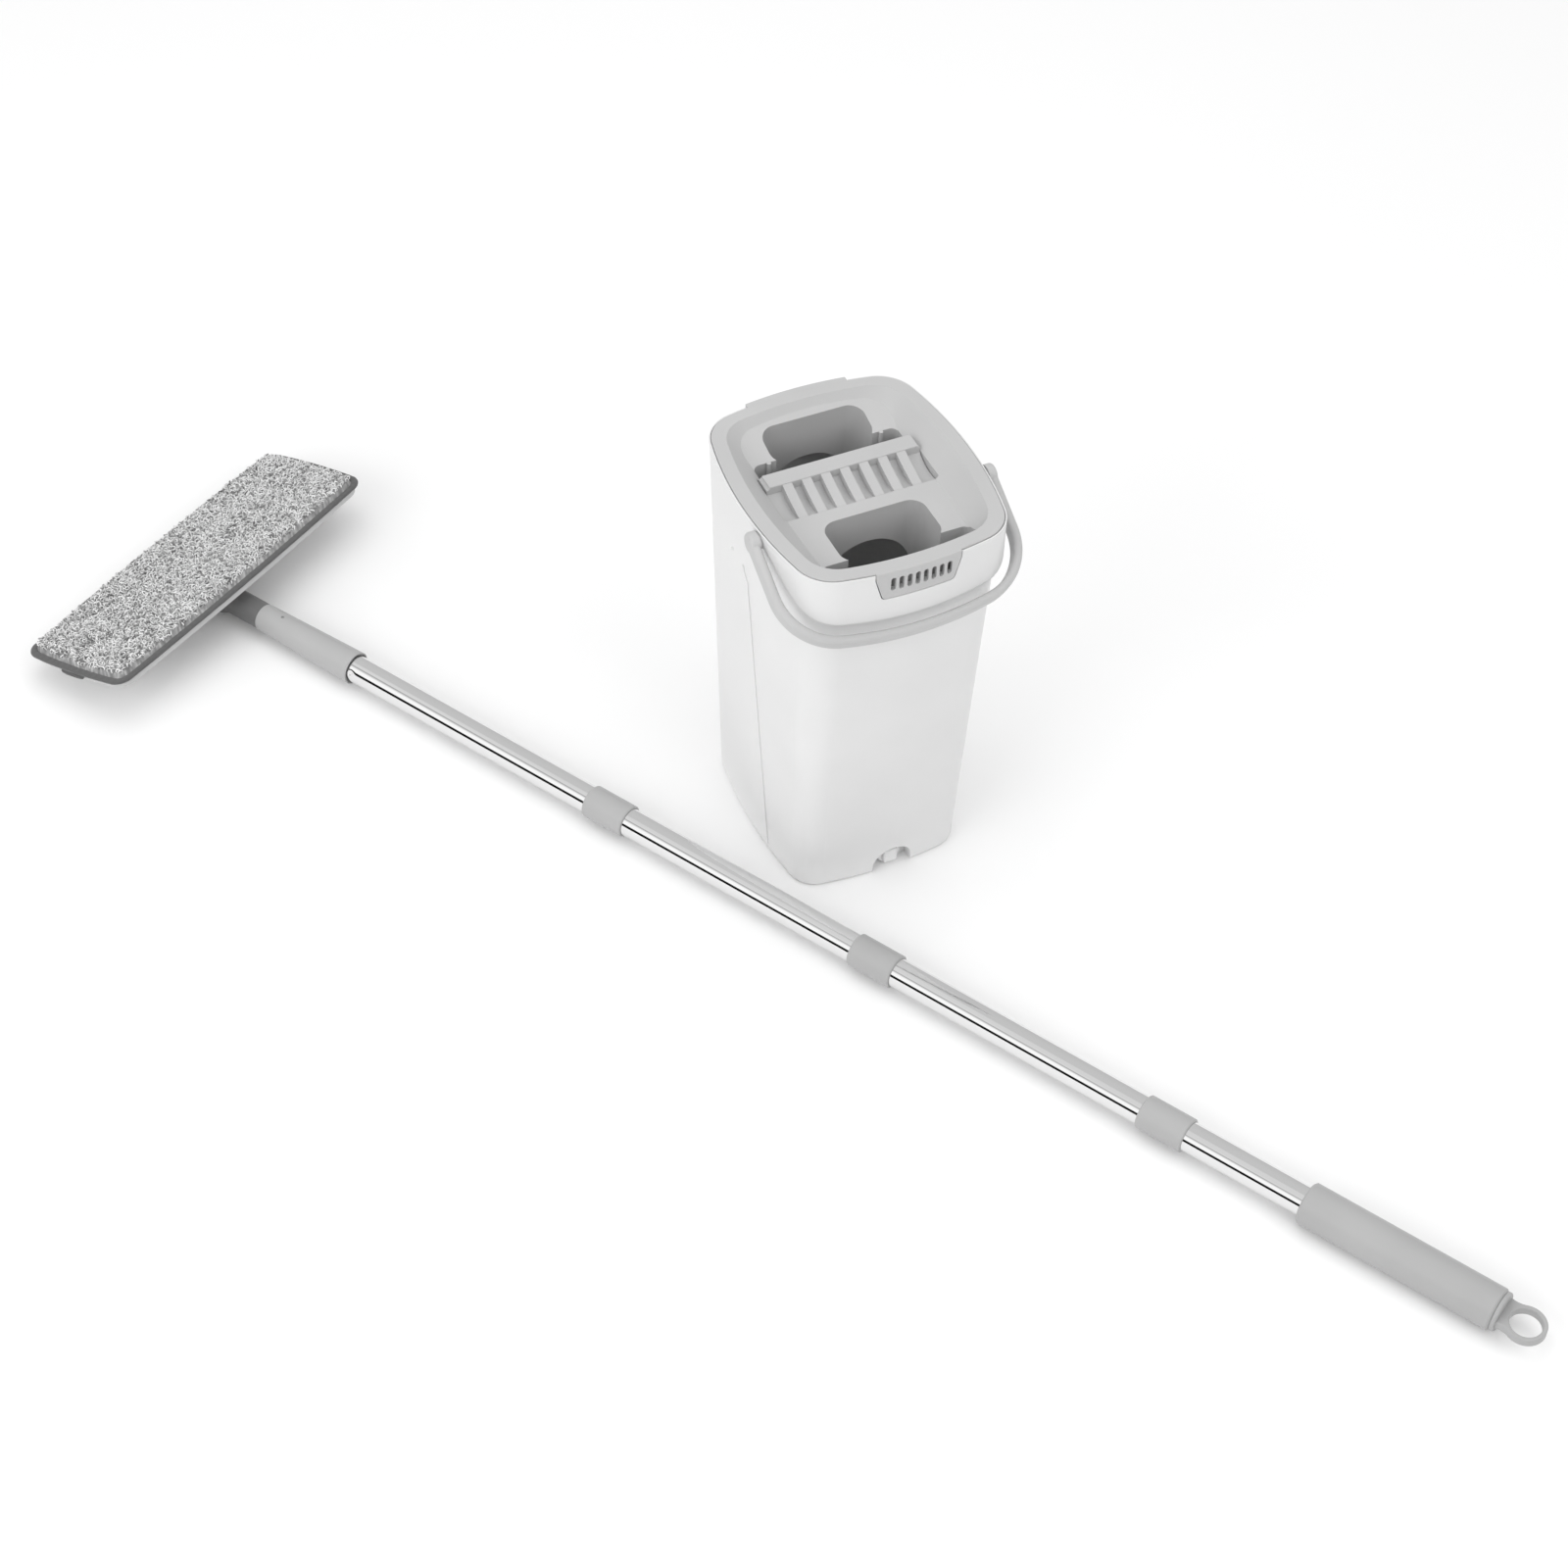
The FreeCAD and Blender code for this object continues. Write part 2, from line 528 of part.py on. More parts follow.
def dry_scraper():
    hinge_y, hinge_z = DRY_HINGE
    blade = yz_prism([(-91.2, 361.5), (-92.6, 362.5), (-98.6, 362.5), (-99.2, 350.0), (-99.6, 342.5),
                      (hinge_y - 1, 341.8), (hinge_y + 3.4, 343.0), (-92.2, 350.0)], -DRY_X, DRY_X)
    teeth = []
    for i in range(RIB_COUNT + 1):
        x = (i - RIB_COUNT / 2) * (RIB_PITCH - 2.4)
        teeth.append(box((x - 3.2, -94.0, 354.0), (x + 3.2, -90.9, 358.0)))
    blade = fuse(blade, *teeth)
    bore = cylinder(ROD_R + PIN_CLEAR, V(-DRY_X - 1, *DRY_HINGE), V(DRY_X + 1, *DRY_HINGE))
    return blade.cut(bore)


def hinge_rod(hinge, reach):
    return cylinder(ROD_R, V(-reach, *hinge), V(reach, *hinge))


def spring(x, y, low_z, high_z, radius, wire_r):
    """A closed coil spring standing on its seat."""
    turns = 4.0
    height = high_z - low_z - 2 * wire_r - 0.2
    helix = Part.makeHelix(height / turns, height, radius)
    start = V(radius, 0, 0)
    section = Part.Wire(Part.makeCircle(wire_r, start, V(0, 1, height / turns / (2 * pi * radius))))
    coil = Part.Wire(helix.Edges).makePipeShell([section], True, True)
    coil.translate(V(x, y, low_z + wire_r + 0.1))
    return coil


def spring_pair(x, y, low_z, high_z, radius, wire_r):
    return Part.makeCompound([spring(way * x, y, low_z, high_z, radius, wire_r) for way in (-1, 1)])


# ---- mop: everything is made along +X, then laid on the floor ---------------------
def on_floor(shape):
    """Turn a pole piece from the pole's own axis to where the mop lies."""
    shape.rotate(ORIGIN, Z_AXIS, POLE_TURN)
    shape.translate(POLE_MOUTH)
    return shape


def turned(points):
    """A solid turned about the X axis from (x, radius) points."""
    corners = [V(x, r, 0) for x, r in points]
    return Part.Face(Part.makePolygon(corners + corners[:1])).revolve(ORIGIN, X_AXIS, 360)


def tube(start, end, outer, inner):
    return turned([(start, inner), (start, outer), (end, outer), (end, inner)])


def pole_section(start, end):
    return tube(start, end, TUBE_R, TUBE_R - TUBE_WALL)


def pole_collar(start):
    """A moulded sleeve over a joint in the pole, with softened ends."""
    end = start + COLLAR_L
    soft = 0.9
    bore = TUBE_R + 0.03
    return turned([(start, bore), (start, COLLAR_R - soft), (start + soft, COLLAR_R),
                   (end - soft, COLLAR_R), (end, COLLAR_R - soft), (end, bore)])


def pole_joint(middle):
    """The screw plug inside a joint, with thread ridges on the half that unscrews."""
    outer = TUBE_R - TUBE_WALL - 0.05
    points = [(middle - 24.0, 5.0), (middle - 24.0, outer), (middle + 2.0, outer)]
    for i in range(6):
        x = middle + 2.0 + i * 3.6
        points += [(x + 0.6, outer - 1.4), (x + 2.2, outer - 1.4), (x + 2.8, outer - 0.1), (x + 3.6, outer - 0.1)]
    end = points[-1][0]
    points += [(end, 5.0)]
    return turned(points)


def grip():
    start, end = GRIP
    bore = TUBE_R + 0.03
    soft = 1.6
    return turned([(start, bore), (start, GRIP_R - soft), (start + soft, GRIP_R),
                   (end - soft, GRIP_R), (end, GRIP_R - soft), (end, bore)])


def hang_ring():
    """The end cap: a plug in the tube, a shoulder, and a flat ring on a waisted neck."""
    shoulder = GRIP[1] + 0.3
    cap = turned([(TUBE_END - 20.0, 0), (TUBE_END - 20.0, TUBE_R - TUBE_WALL - 0.05),
                  (TUBE_END + 0.2, TUBE_R - TUBE_WALL - 0.05), (TUBE_END + 0.2, TUBE_R - 1.0),
                  (shoulder, TUBE_R - 1.0), (shoulder, GRIP_R - 1.2), (shoulder + 2.6, GRIP_R - 1.2),
                  (shoulder + 3.4, GRIP_R - 2.2), (shoulder + 3.4, 0)])
    half = RING_T / 2
    ring = Part.makeCylinder(RING_R, RING_T, V(RING_X, 0, -half))
    reach = shoulder + 2.0
    foot = V(reach, GRIP_R - 3.4, -half)
    outward = V(-0.4, sqrt(1 - 0.4 ** 2), 0)
    on_ring = V(RING_X, 0, -half) + outward * RING_R
    chord = foot - on_ring
    radius = chord.dot(chord) / (2 * outward.dot(chord))
    waist = on_ring + outward * radius - V(0, radius, 0)

    def flip(p):
        return V(p.x, -p.y, p.z)

    edges = [Part.Arc(foot, waist, on_ring).toShape(), Part.LineSegment(on_ring, flip(on_ring)).toShape(),
             Part.Arc(flip(on_ring), flip(waist), flip(foot)).toShape(), Part.LineSegment(flip(foot), foot).toShape()]
    neck = Part.Face(Part.Wire(edges)).extrude(V(0, 0, RING_T))
    eye = ring.fuse(neck).removeSplitter()
    eye = eye.cut(Part.makeCylinder(RING_BORE, RING_T + 2, V(RING_X, 0, -half - 1)))
    rims = [e for e in eye.Edges if e.BoundBox.ZLength < 0.01 and e.BoundBox.XMax > reach + 1.0]
    eye = eye.makeFillet(1.2, rims)
    return fuse(cap, eye)


def neck_sleeve():
    """The tapered socket that the first tube is pressed into."""
    mouth_r, foot_r = SLEEVE_R
    step = TUBE_START - 0.2
    gap_r, gap_l = MOUTH_GAP
    return turned([(-gap_l, TUBE_R + 0.03), (-gap_l, gap_r), (0.0, gap_r), (0.0, mouth_r - 0.4),
                   (-0.4, mouth_r), (-SLEEVE_L + 0.6, foot_r),
                   (-SLEEVE_L, foot_r - 0.6), (-SLEEVE_L, 8.05), (step, 8.05), (step, TUBE_R + 0.03)]
                  ).cut(cylinder(1.52, V(-86, 0, -16), V(-86, 0, 16)))


def neck_pin():
    return cylinder(1.5, V(-86, 0, -12.4), V(-86, 0, 12.4))


def neck_fork():
    """The dark neck: a spigot in the sleeve, a round block and two flat prongs."""
    web = SWING_X + TONGUE_R + 0.8
    block = cylinder(FORK_R, V(SWING_X, 0, 0), V(-SLEEVE_L - 0.05, 0, 0))
    block = block.common(box((SWING_X - 20, -20, -FORK_HALF_Z), (0, 20, FORK_HALF_Z)))
    nose = Part.makeCylinder(FORK_R - 0.3, 2 * FORK_HALF_Z, V(SWING_X, 0, -FORK_HALF_Z))
    block = block.fuse(nose)
    slot = box((SWING_X - 20, -20, -SLOT_HALF_Z), (web, 20, SLOT_HALF_Z))
    spigot = cylinder(8.0, V(-SLEEVE_L - 1, 0, 0), V(-SLEEVE_L + 30, 0, 0))
    bore = Part.makeCylinder(PIN_R + 0.02, 40, V(SWING_X, 0, -20))
    cross = cylinder(1.52, V(-86, 0, -16), V(-86, 0, 16))
    return block.cut(slot).fuse(spigot).removeSplitter().cut(bore).cut(cross)


def swing_pin():
    top = FORK_HALF_Z + 0.05
    pin = Part.makeCylinder(PIN_R, 2 * top, V(SWING_X, 0, -top))
    heads = [Part.makeCylinder(5.2, 1.4, V(SWING_X, 0, z)) for z in (top, -top - 1.4)]
    return fuse(pin, *heads)


# ---- mop head: made round the tilt pin, then tilted, yawed and laid down ----------
def on_knuckle(shape):
    """From the tilt pin's own axes to the pole's, turned by the rest yaw."""
    shape.translate(V(-TILT_BACK, 0, 0))
    shape.rotate(ORIGIN, Z_AXIS, HEAD_YAW)
    shape.translate(V(SWING_X, 0, 0))
    return on_floor(shape)


def on_head(shape):
    """As on_knuckle, after the rest tilt that lifts the edge next to the pole."""
    shape.rotate(ORIGIN, Y_AXIS, -HEAD_TILT)
    return on_knuckle(shape)


def knuckle():
    barrel = cylinder(BARREL_R, V(0, -BARREL_HALF, 0), V(0, BARREL_HALF, 0))
    tongue = box((0, -TONGUE_R, -TONGUE_HALF), (TILT_BACK, TONGUE_R, TONGUE_HALF))
    nose = Part.makeCylinder(TONGUE_R, 2 * TONGUE_HALF, V(TILT_BACK, 0, -TONGUE_HALF))
    swing_bore = Part.makeCylinder(PIN_R + PIN_CLEAR, 40, V(TILT_BACK, 0, -20))
    tilt_bore = cylinder(PIN_R + PIN_CLEAR, V(0, -20, 0), V(0, 20, 0))
    return fuse(barrel, tongue, nose).cut(swing_bore).cut(tilt_bore)


def tilt_pin():
    end = EAR[1] + 0.05
    pin = cylinder(PIN_R, V(0, -end, 0), V(0, end, 0))
    heads = [cylinder(5.2, V(0, way * end, 0), V(0, way * (end + 1.4), 0)) for way in (-1, 1)]
    return fuse(pin, *heads)


def plate_bracket():
    """The saddle under the plate, with two ears for the tilt pin."""
    low_n = PLATE_N - BRACKET_T
    base = rounded_box((-25, -36, low_n), (25, 36, PLATE_N - 0.05), 10.0)
    saddle = base
    for low, high in (EAR, (-EAR[1], -EAR[0])):
        ear = box((-EAR_R, low, 0), (EAR_R, high, low_n + 1))
        ear = ear.fuse(cylinder(EAR_R, V(0, low, 0), V(0, high, 0)))
        saddle = saddle.fuse(ear)
        web_y = 20.5 if low > 0 else -20.5
        web = yz_prism([(web_y, low_n + 0.5), (web_y * 0.88, low_n + 0.5), (web_y * 0.88, -1.0),
                        (web_y * 1.5, low_n + 0.5)], -1.5, 1.5)
        web = web.cut(cylinder(5.8, V(0, -40, 0), V(0, 40, 0)))
        saddle = saddle.fuse(web)
    bore = cylinder(PIN_R + 0.02, V(0, -20, 0), V(0, 20, 0))
    saddle = saddle.removeSplitter().cut(bore)
    for x in (-17, 17):
        for y in (-28, 28):
            saddle = saddle.cut(Part.makeCylinder(1.9, 20, V(x, y, low_n - 5)))
    return saddle


def bracket_screws():
    low_n = PLATE_N - BRACKET_T
    screws = []
    for x in (-17, 17):
        for y in (-28, 28):
            head = Part.makeCylinder(3.4, 1.8, V(x, y, low_n - 1.85))
            shank = Part.makeCylinder(1.45, BRACKET_T + 2.4, V(x, y, low_n - 0.1))
            cross = [box((x - 2, y - 0.4, low_n - 2), (x + 2, y + 0.4, low_n - 1.1)),
                     box((x - 0.4, y - 2, low_n - 2), (x + 0.4, y + 2, low_n - 1.1))]
            screws.append(fuse(head, shank).cut(cross[0]).cut(cross[1]))
    return Part.makeCompound(screws)


def head_plate():
    """The long mop plate: a thin skin with a rim, ribs on its back and screw pads."""
    half_l = PLATE_PLAN["d"]
    half_w = PLATE_PLAN["w"]
    top_n = PLATE_N + PLATE_T
    plate = slab(PLATE_PLAN, PLATE_N, top_n)
    top_rim = [e for e in plate.Edges if e.BoundBox.ZMin > top_n - 0.01]
    plate = plate.makeFillet(1.0, top_rim)
    hollow = slab(grown(PLATE_PLAN, -PLATE_RIM), PLATE_N - 1, top_n - PLATE_SKIN)
    keep = [box((-27, -38, PLATE_N), (27, 38, top_n))]
    for x in (-32, 0, 32):
        keep.append(box((x - 0.9, -half_l + 1, PLATE_N), (x + 0.9, half_l - 1, top_n)))
    for i in range(-4, 5):
        if i:
            keep.append(box((-half_w + 1, i * 34.0 - 0.9, PLATE_N), (half_w - 1, i * 34.0 + 0.9, top_n)))
    for shape in keep:
        hollow = hollow.cut(shape)
    plate = plate.cut(hollow)
    for x in (-17, 17):
        for y in (-28, 28):
            plate = plate.cut(Part.makeCylinder(1.5, 3.0, V(x, y, PLATE_N - 0.2)))
    return plate


def hook_strips():
    top_n = PLATE_N + PLATE_T + 0.05
    return Part.makeCompound([rounded_box((x - 11, -140, top_n), (x + 11, 140, top_n + HOOK_T), 3.0)
                              for x in (-38, 38)])


def pad_layers():
    """The pad: backing cloth, the bound edge round it and the fleece pile on top."""
    low = PLATE_N + PLATE_T + HOOK_T + 0.1
    plan = grown(PLATE_PLAN, PAD_OVER)
    backing = slab(grown(plan, -PAD_EDGE), low, low + BACKING_T)
    bound = slab(plan, low - 0.6, low + BACKING_T + 0.8)
    bound = bound.cut(slab(grown(plan, -PAD_EDGE + 0.05), low - 2, low + 5))
    fleece = slab(grown(plan, -PAD_EDGE - 0.1), low + BACKING_T + 0.05, low + BACKING_T + FLEECE_T)
    return backing, bound, fleece


# ---- write every node --------------------------------------------------------------
os.makedirs("parts", exist_ok=True)

save(bucket_body(), "bucket_body")
save(drain_plug(), "drain_plug")
save(plug_seal(), "plug_seal")
save(carry_handle(), "carry_handle")
save(wringer_insert(), "wringer_insert")
save(wash_scraper(), "wash_scraper")
save(dry_scraper(), "dry_scraper")
save(hinge_rod(WASH_HINGE, TRAY_X + 2.2), "wash_hinge_rod")
save(hinge_rod(DRY_HINGE, DRY_X + 2.8), "dry_hinge_rod")
save(spring_pair(WASH_SPRING_X, WASH_SPRING_Y, TRAY_Z, WASH_SPRING_TOP, 3.6, 0.5), "wash_springs")
save(spring_pair(DRY_SPRING_X, DRY_SPRING_Y, DRY_TRAY_Z, 341.8, 1.6, 0.3), "dry_springs")

joint_middles = [start + COLLAR_L / 2 for start in COLLARS]
ends = [TUBE_START] + joint_middles + [TUBE_END]
for i in range(4):
    save(on_floor(pole_section(ends[i] + 0.05, ends[i + 1] - 0.05)), "pole_section_%d" % (i + 1))
for i, start in enumerate(COLLARS):
    save(on_floor(pole_collar(start)), "pole_collar_%d" % (i + 1))
    save(on_floor(pole_joint(joint_middles[i])), "pole_screw_joint_%d" % (i + 1))
save(on_floor(grip()), "pole_grip")
save(on_floor(hang_ring()), "hang_ring")
save(on_floor(neck_sleeve()), "neck_sleeve")
save(on_floor(neck_pin()), "neck_pin")
save(on_floor(neck_fork()), "neck_fork")
save(on_floor(swing_pin()), "swing_pin")

save(on_knuckle(knuckle()), "knuckle")
save(on_head(tilt_pin()), "tilt_pin")
save(on_head(plate_bracket()), "plate_bracket")
save(on_head(bracket_screws()), "bracket_screws")
save(on_head(head_plate()), "head_plate")
save(on_head(hook_strips()), "hook_strips")
pad_backing, pad_binding, pad_fleece = pad_layers()
save(on_head(pad_backing), "pad_backing")
save(on_head(pad_binding), "pad_binding")
save(on_head(pad_fleece), "pad_fleece")
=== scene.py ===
# %% [markdown]
# A flat mop lies beside its two-slot bucket.  The sizes, joints and fits come from the
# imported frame, which this lesson only loads.  What it adds is the look: finishes for the
# moulded, metal and rubber parts, and new surfaces where a plain solid cannot show what
# the real thing is, such as the looped pile of the pad and the crimps in the pole tubes.

# %% Load the frame
import json
from math import cos, radians, sin

import bpy
import numpy as np
from mathutils import Matrix, Vector


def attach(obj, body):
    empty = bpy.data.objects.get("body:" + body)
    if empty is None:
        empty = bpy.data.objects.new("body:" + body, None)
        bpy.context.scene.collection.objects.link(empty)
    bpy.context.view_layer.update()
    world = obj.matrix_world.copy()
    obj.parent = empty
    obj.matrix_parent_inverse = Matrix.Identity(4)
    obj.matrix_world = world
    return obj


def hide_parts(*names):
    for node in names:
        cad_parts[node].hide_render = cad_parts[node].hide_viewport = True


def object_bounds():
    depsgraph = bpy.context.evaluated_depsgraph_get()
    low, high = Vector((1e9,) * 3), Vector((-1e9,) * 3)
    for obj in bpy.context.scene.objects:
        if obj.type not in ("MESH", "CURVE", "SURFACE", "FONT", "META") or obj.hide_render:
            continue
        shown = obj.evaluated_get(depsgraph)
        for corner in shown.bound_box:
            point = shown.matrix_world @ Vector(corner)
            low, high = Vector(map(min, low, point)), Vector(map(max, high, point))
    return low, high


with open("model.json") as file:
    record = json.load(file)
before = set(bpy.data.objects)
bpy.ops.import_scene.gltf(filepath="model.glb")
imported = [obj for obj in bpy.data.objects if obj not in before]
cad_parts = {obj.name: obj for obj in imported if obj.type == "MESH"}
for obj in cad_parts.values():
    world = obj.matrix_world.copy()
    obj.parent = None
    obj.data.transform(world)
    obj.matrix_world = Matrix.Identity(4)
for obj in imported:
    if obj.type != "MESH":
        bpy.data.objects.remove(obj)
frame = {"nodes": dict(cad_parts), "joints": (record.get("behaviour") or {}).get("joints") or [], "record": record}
cad_low, cad_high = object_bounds()
MM = 0.001
joints = {joint["name"]: joint for joint in frame["joints"]}
mounts = {mount["name"]: mount for mount in frame["record"]["mounts"]}
random = np.random.default_rng(11)
print("nodes", len(frame["nodes"]), "box", [round(v, 3) for v in cad_high - cad_low])

# %% [markdown]
# A new surface is a grid of points, worked out as whole arrays, that becomes a mesh.
# Rows and columns of the grid may close on themselves, as round a tube.  One function
# turns any such grid into an object, so every later piece only has to say its formula.


# %% From a grid of points to a mesh
def grid_faces(rows, columns, wrap_rows=False, wrap_columns=True):
    """Four corner numbers for each cell of a grid whose points are numbered row by row."""
    row = np.arange(rows if wrap_rows else rows - 1)[:, None]
    column = np.arange(columns if wrap_columns else columns - 1)[None, :]
    next_row = (row + 1) % rows
    next_column = (column + 1) % columns
    corners = [row * columns + column, row * columns + next_column,
               next_row * columns + next_column, next_row * columns + column]
    return np.stack(np.broadcast_arrays(*corners), -1).reshape(-1, 4)


def make_piece(name, points, faces, body, replaced=(), smooth=True):
    """Put points and faces in a mesh with foreach_set, and let it ride on its body."""
    points = np.asarray(points, np.float32).reshape(-1, 3)
    sides = faces.shape[1]
    mesh = bpy.data.meshes.new(name)
    mesh.vertices.add(len(points))
    mesh.vertices.foreach_set("co", points.ravel())
    mesh.loops.add(faces.size)
    mesh.loops.foreach_set("vertex_index", faces.ravel().astype(np.int32))
    mesh.polygons.add(len(faces))
    mesh.polygons.foreach_set("loop_start", np.arange(0, faces.size, sides, dtype=np.int32))
    mesh.polygons.foreach_set("use_smooth", np.full(len(faces), smooth))
    mesh.update(calc_edges=True)
    mesh.validate()
    piece = bpy.data.objects.new(name, mesh)
    bpy.context.scene.collection.objects.link(piece)
    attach(piece, body)
    if replaced:
        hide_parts(*replaced)
    print(name, len(points), "points", len(faces), "faces")
    return piece


def node_points(name):
    """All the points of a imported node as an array."""
    mesh = frame["nodes"][name].data
    points = np.empty(len(mesh.vertices) * 3)
    mesh.vertices.foreach_get("co", points)
    return points.reshape(-1, 3)


# %% [markdown]
# Colours are written as the usual sRGB hex values and turned to linear light by one
# function.  A second small function adds a shader node with its settings and its links,
# and every finish below is built with it.


# %% Colour and shader helpers
def linear(hex_colour):
    """sRGB hex to linear: v / 12.92 below 0.04045, else ((v + 0.055) / 1.055) ** 2.4."""
    values = np.array([int(hex_colour[i:i + 2], 16) for i in (1, 3, 5)]) / 255.0
    light = np.where(values <= 0.04045, values / 12.92, ((values + 0.055) / 1.055) ** 2.4)
    return (*light.tolist(), 1.0)


def add(tree, kind, values=None, links=None, **settings):
    """Add one node: set its properties and socket values, then join its inputs."""
    made = tree.nodes.new(kind)
    for key, value in settings.items():
        setattr(made, key, value)
    for key, value in (values or {}).items():
        made.inputs[key].default_value = value
    for key, source in (links or {}).items():
        tree.links.new(source, made.inputs[key])
    return made


def new_finish(name, **shader_values):
    """An empty material with a principled shader and the object coordinates it may read."""
    finish = bpy.data.materials.new(name)
    finish.use_nodes = True
    tree = finish.node_tree
    tree.nodes.clear()
    shader = add(tree, "ShaderNodeBsdfPrincipled", shader_values)
    add(tree, "ShaderNodeOutputMaterial", links={"Surface": shader.outputs["BSDF"]})
    place = add(tree, "ShaderNodeTexCoord").outputs["Object"]
    return finish, tree, shader, place


def blend_tones(tree, source, tones):
    """A colour ramp from (position, hex) pairs, fed by a grey value."""
    ramp = add(tree, "ShaderNodeValToRGB", links={"Fac": source})
    stops = ramp.color_ramp.elements
    while len(stops) < len(tones):
        stops.new(0.5)
    for stop, (position, tone) in zip(stops, tones):
        stop.position = position
        stop.color = linear(tone)
    return ramp.outputs["Color"]


# %% [markdown]
# The bucket, lid and fittings are injection-moulded polypropylene.  A mould leaves a very
# fine satin grain, a slight orange-peel and faint tone changes where the melt flowed, and
# light sinks a little way into it.  Grain sizes are given in millimetres; a noise texture
# with scale s repeats about every 1/s metres, so its scale is one over the size.


# %% Moulded plastic
def moulded(name, low_tone, high_tone, roughness, grain_mm, peel_mm=14.0, depth=0.35, soft=0.0):
    """Satin moulded plastic: flow tones, orange-peel waves and a fine grain."""
    finish, tree, shader, place = new_finish(
        name, **{"Roughness": roughness, "IOR": 1.49, "Subsurface Weight": soft,
                 "Subsurface Radius": (0.004, 0.004, 0.004), "Subsurface Scale": 0.5})
    flow = add(tree, "ShaderNodeTexNoise", {"Scale": 1 / (90 * MM), "Detail": 3.0}, {"Vector": place})
    tone = blend_tones(tree, flow.outputs["Fac"], ((0.3, low_tone), (0.7, high_tone)))
    tree.links.new(tone, shader.inputs["Base Color"])
    peel = add(tree, "ShaderNodeTexNoise", {"Scale": 1 / (peel_mm * MM), "Detail": 1.0}, {"Vector": place})
    grain = add(tree, "ShaderNodeTexNoise", {"Scale": 1 / (grain_mm * MM), "Detail": 2.0}, {"Vector": place})
    waves = add(tree, "ShaderNodeBump", {"Strength": 0.12, "Distance": 0.6 * MM},
                {"Height": peel.outputs["Fac"]})
    bumps = add(tree, "ShaderNodeBump", {"Strength": depth, "Distance": 0.05 * MM},
                {"Height": grain.outputs["Fac"], "Normal": waves.outputs["Normal"]})
    tree.links.new(bumps.outputs["Normal"], shader.inputs["Normal"])
    gloss = add(tree, "ShaderNodeMapRange", {"To Min": roughness - 0.05, "To Max": roughness + 0.07},
                {"Value": flow.outputs["Fac"]})
    tree.links.new(gloss.outputs["Result"], shader.inputs["Roughness"])
    return finish


# Near-white with a broad soft highlight, and a trace of light bleeding through its edges.
white_shell = moulded("white_polypropylene_satin", "#DCDCDC", "#E0E0E0", 0.34, 0.9, soft=0.08)
# A duller pale grey, so the lid and bail read apart from the shell.
grey_lid = moulded("light_grey_polypropylene_satin", "#B8B8B8", "#BDBDBD", 0.42, 0.8)
# One step darker: sleeves, grip and ring show as soft bands on the bright pole.
grey_fitting = moulded("mid_grey_polypropylene_satin", "#A8A8A8", "#AEAEAE", 0.45, 0.7)
# Hard pale plate, seen as a light line under the dark edge of the pad.
grey_plate = moulded("pale_grey_abs_plate", "#BBBBBB", "#C1C1C1", 0.42, 0.8)
# Dark and matt, so the joint behind the head stays in the background.
dark_fitting = moulded("dark_grey_nylon_moulded", "#686868", "#727272", 0.5, 0.7)

# %% [markdown]
# The pole is thin polished stainless tube.  A drawing die leaves hair-fine lines along it,
# far too fine to resolve, so they are drawn 0.4 mm apart and stretched along the tube, and
# only the roughness follows them.  Pins, springs and screws are the same steel, duller.


# %% Metal and rubber
def steel(name, tone, roughness, line_mm, stretch=(1.0, 1.0, 1.0)):
    """Bright steel whose roughness varies a little along fine lines."""
    finish, tree, shader, place = new_finish(name, **{"Metallic": 1.0, "Roughness": roughness,
                                                      "Base Color": linear(tone)})
    turn = add(tree, "ShaderNodeMapping", {"Scale": stretch, "Rotation": (0, 0, -pole_turn)},
               {"Vector": place})
    lines = add(tree, "ShaderNodeTexNoise", {"Scale": 1 / (line_mm * MM), "Detail": 2.0},
                {"Vector": turn.outputs["Vector"]})
    gloss = add(tree, "ShaderNodeMapRange", {"To Min": roughness * 0.7, "To Max": roughness * 1.5},
                {"Value": lines.outputs["Fac"]})
    tree.links.new(gloss.outputs["Result"], shader.inputs["Roughness"])
    return finish


swing = Vector(joints["head_swing"]["pos_m"])
ring = Vector(mounts["hang_hole"]["pos_m"])
pole = np.array((ring - swing).normalized())
pole_turn = float(np.arctan2(pole[1], pole[0]))
# Almost a mirror: it shows the room as long stripes.
tube_steel = steel("polished_stainless_tube", "#E6E6E6", 0.05, 0.4, (0.02, 1.0, 1.0))
# Plain drawn steel with a blurred glint.
pin_steel = steel("plain_steel_pins", "#B4B4B4", 0.28, 0.6)

# Black moulded rubber, nearly without highlight.
seal_rubber, tree, shader, place = new_finish(
    "black_rubber_seal", **{"Roughness": 0.7, "Base Color": linear("#1C1C1C")})
specks = add(tree, "ShaderNodeTexNoise", {"Scale": 1 / (0.8 * MM)}, {"Vector": place})
dull = add(tree, "ShaderNodeBump", {"Strength": 0.3, "Distance": 0.05 * MM},
           {"Height": specks.outputs["Fac"]})
tree.links.new(dull.outputs["Normal"], shader.inputs["Normal"])

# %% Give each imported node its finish
finish_of = {
    white_shell: ["bucket_body", "drain_plug"],
    grey_lid: ["wringer_insert", "wash_scraper", "dry_scraper", "carry_handle"],
    grey_fitting: ["neck_sleeve", "pole_collar_1", "pole_collar_2", "pole_collar_3", "pole_grip",
                   "hang_ring"],
    grey_plate: ["head_plate"],
    dark_fitting: ["neck_fork", "knuckle", "plate_bracket", "pole_screw_joint_1", "pole_screw_joint_2",
                   "pole_screw_joint_3"],
    pin_steel: ["wash_hinge_rod", "dry_hinge_rod", "wash_springs", "dry_springs", "neck_pin", "swing_pin",
                "tilt_pin", "bracket_screws"],
    seal_rubber: ["plug_seal"],
}


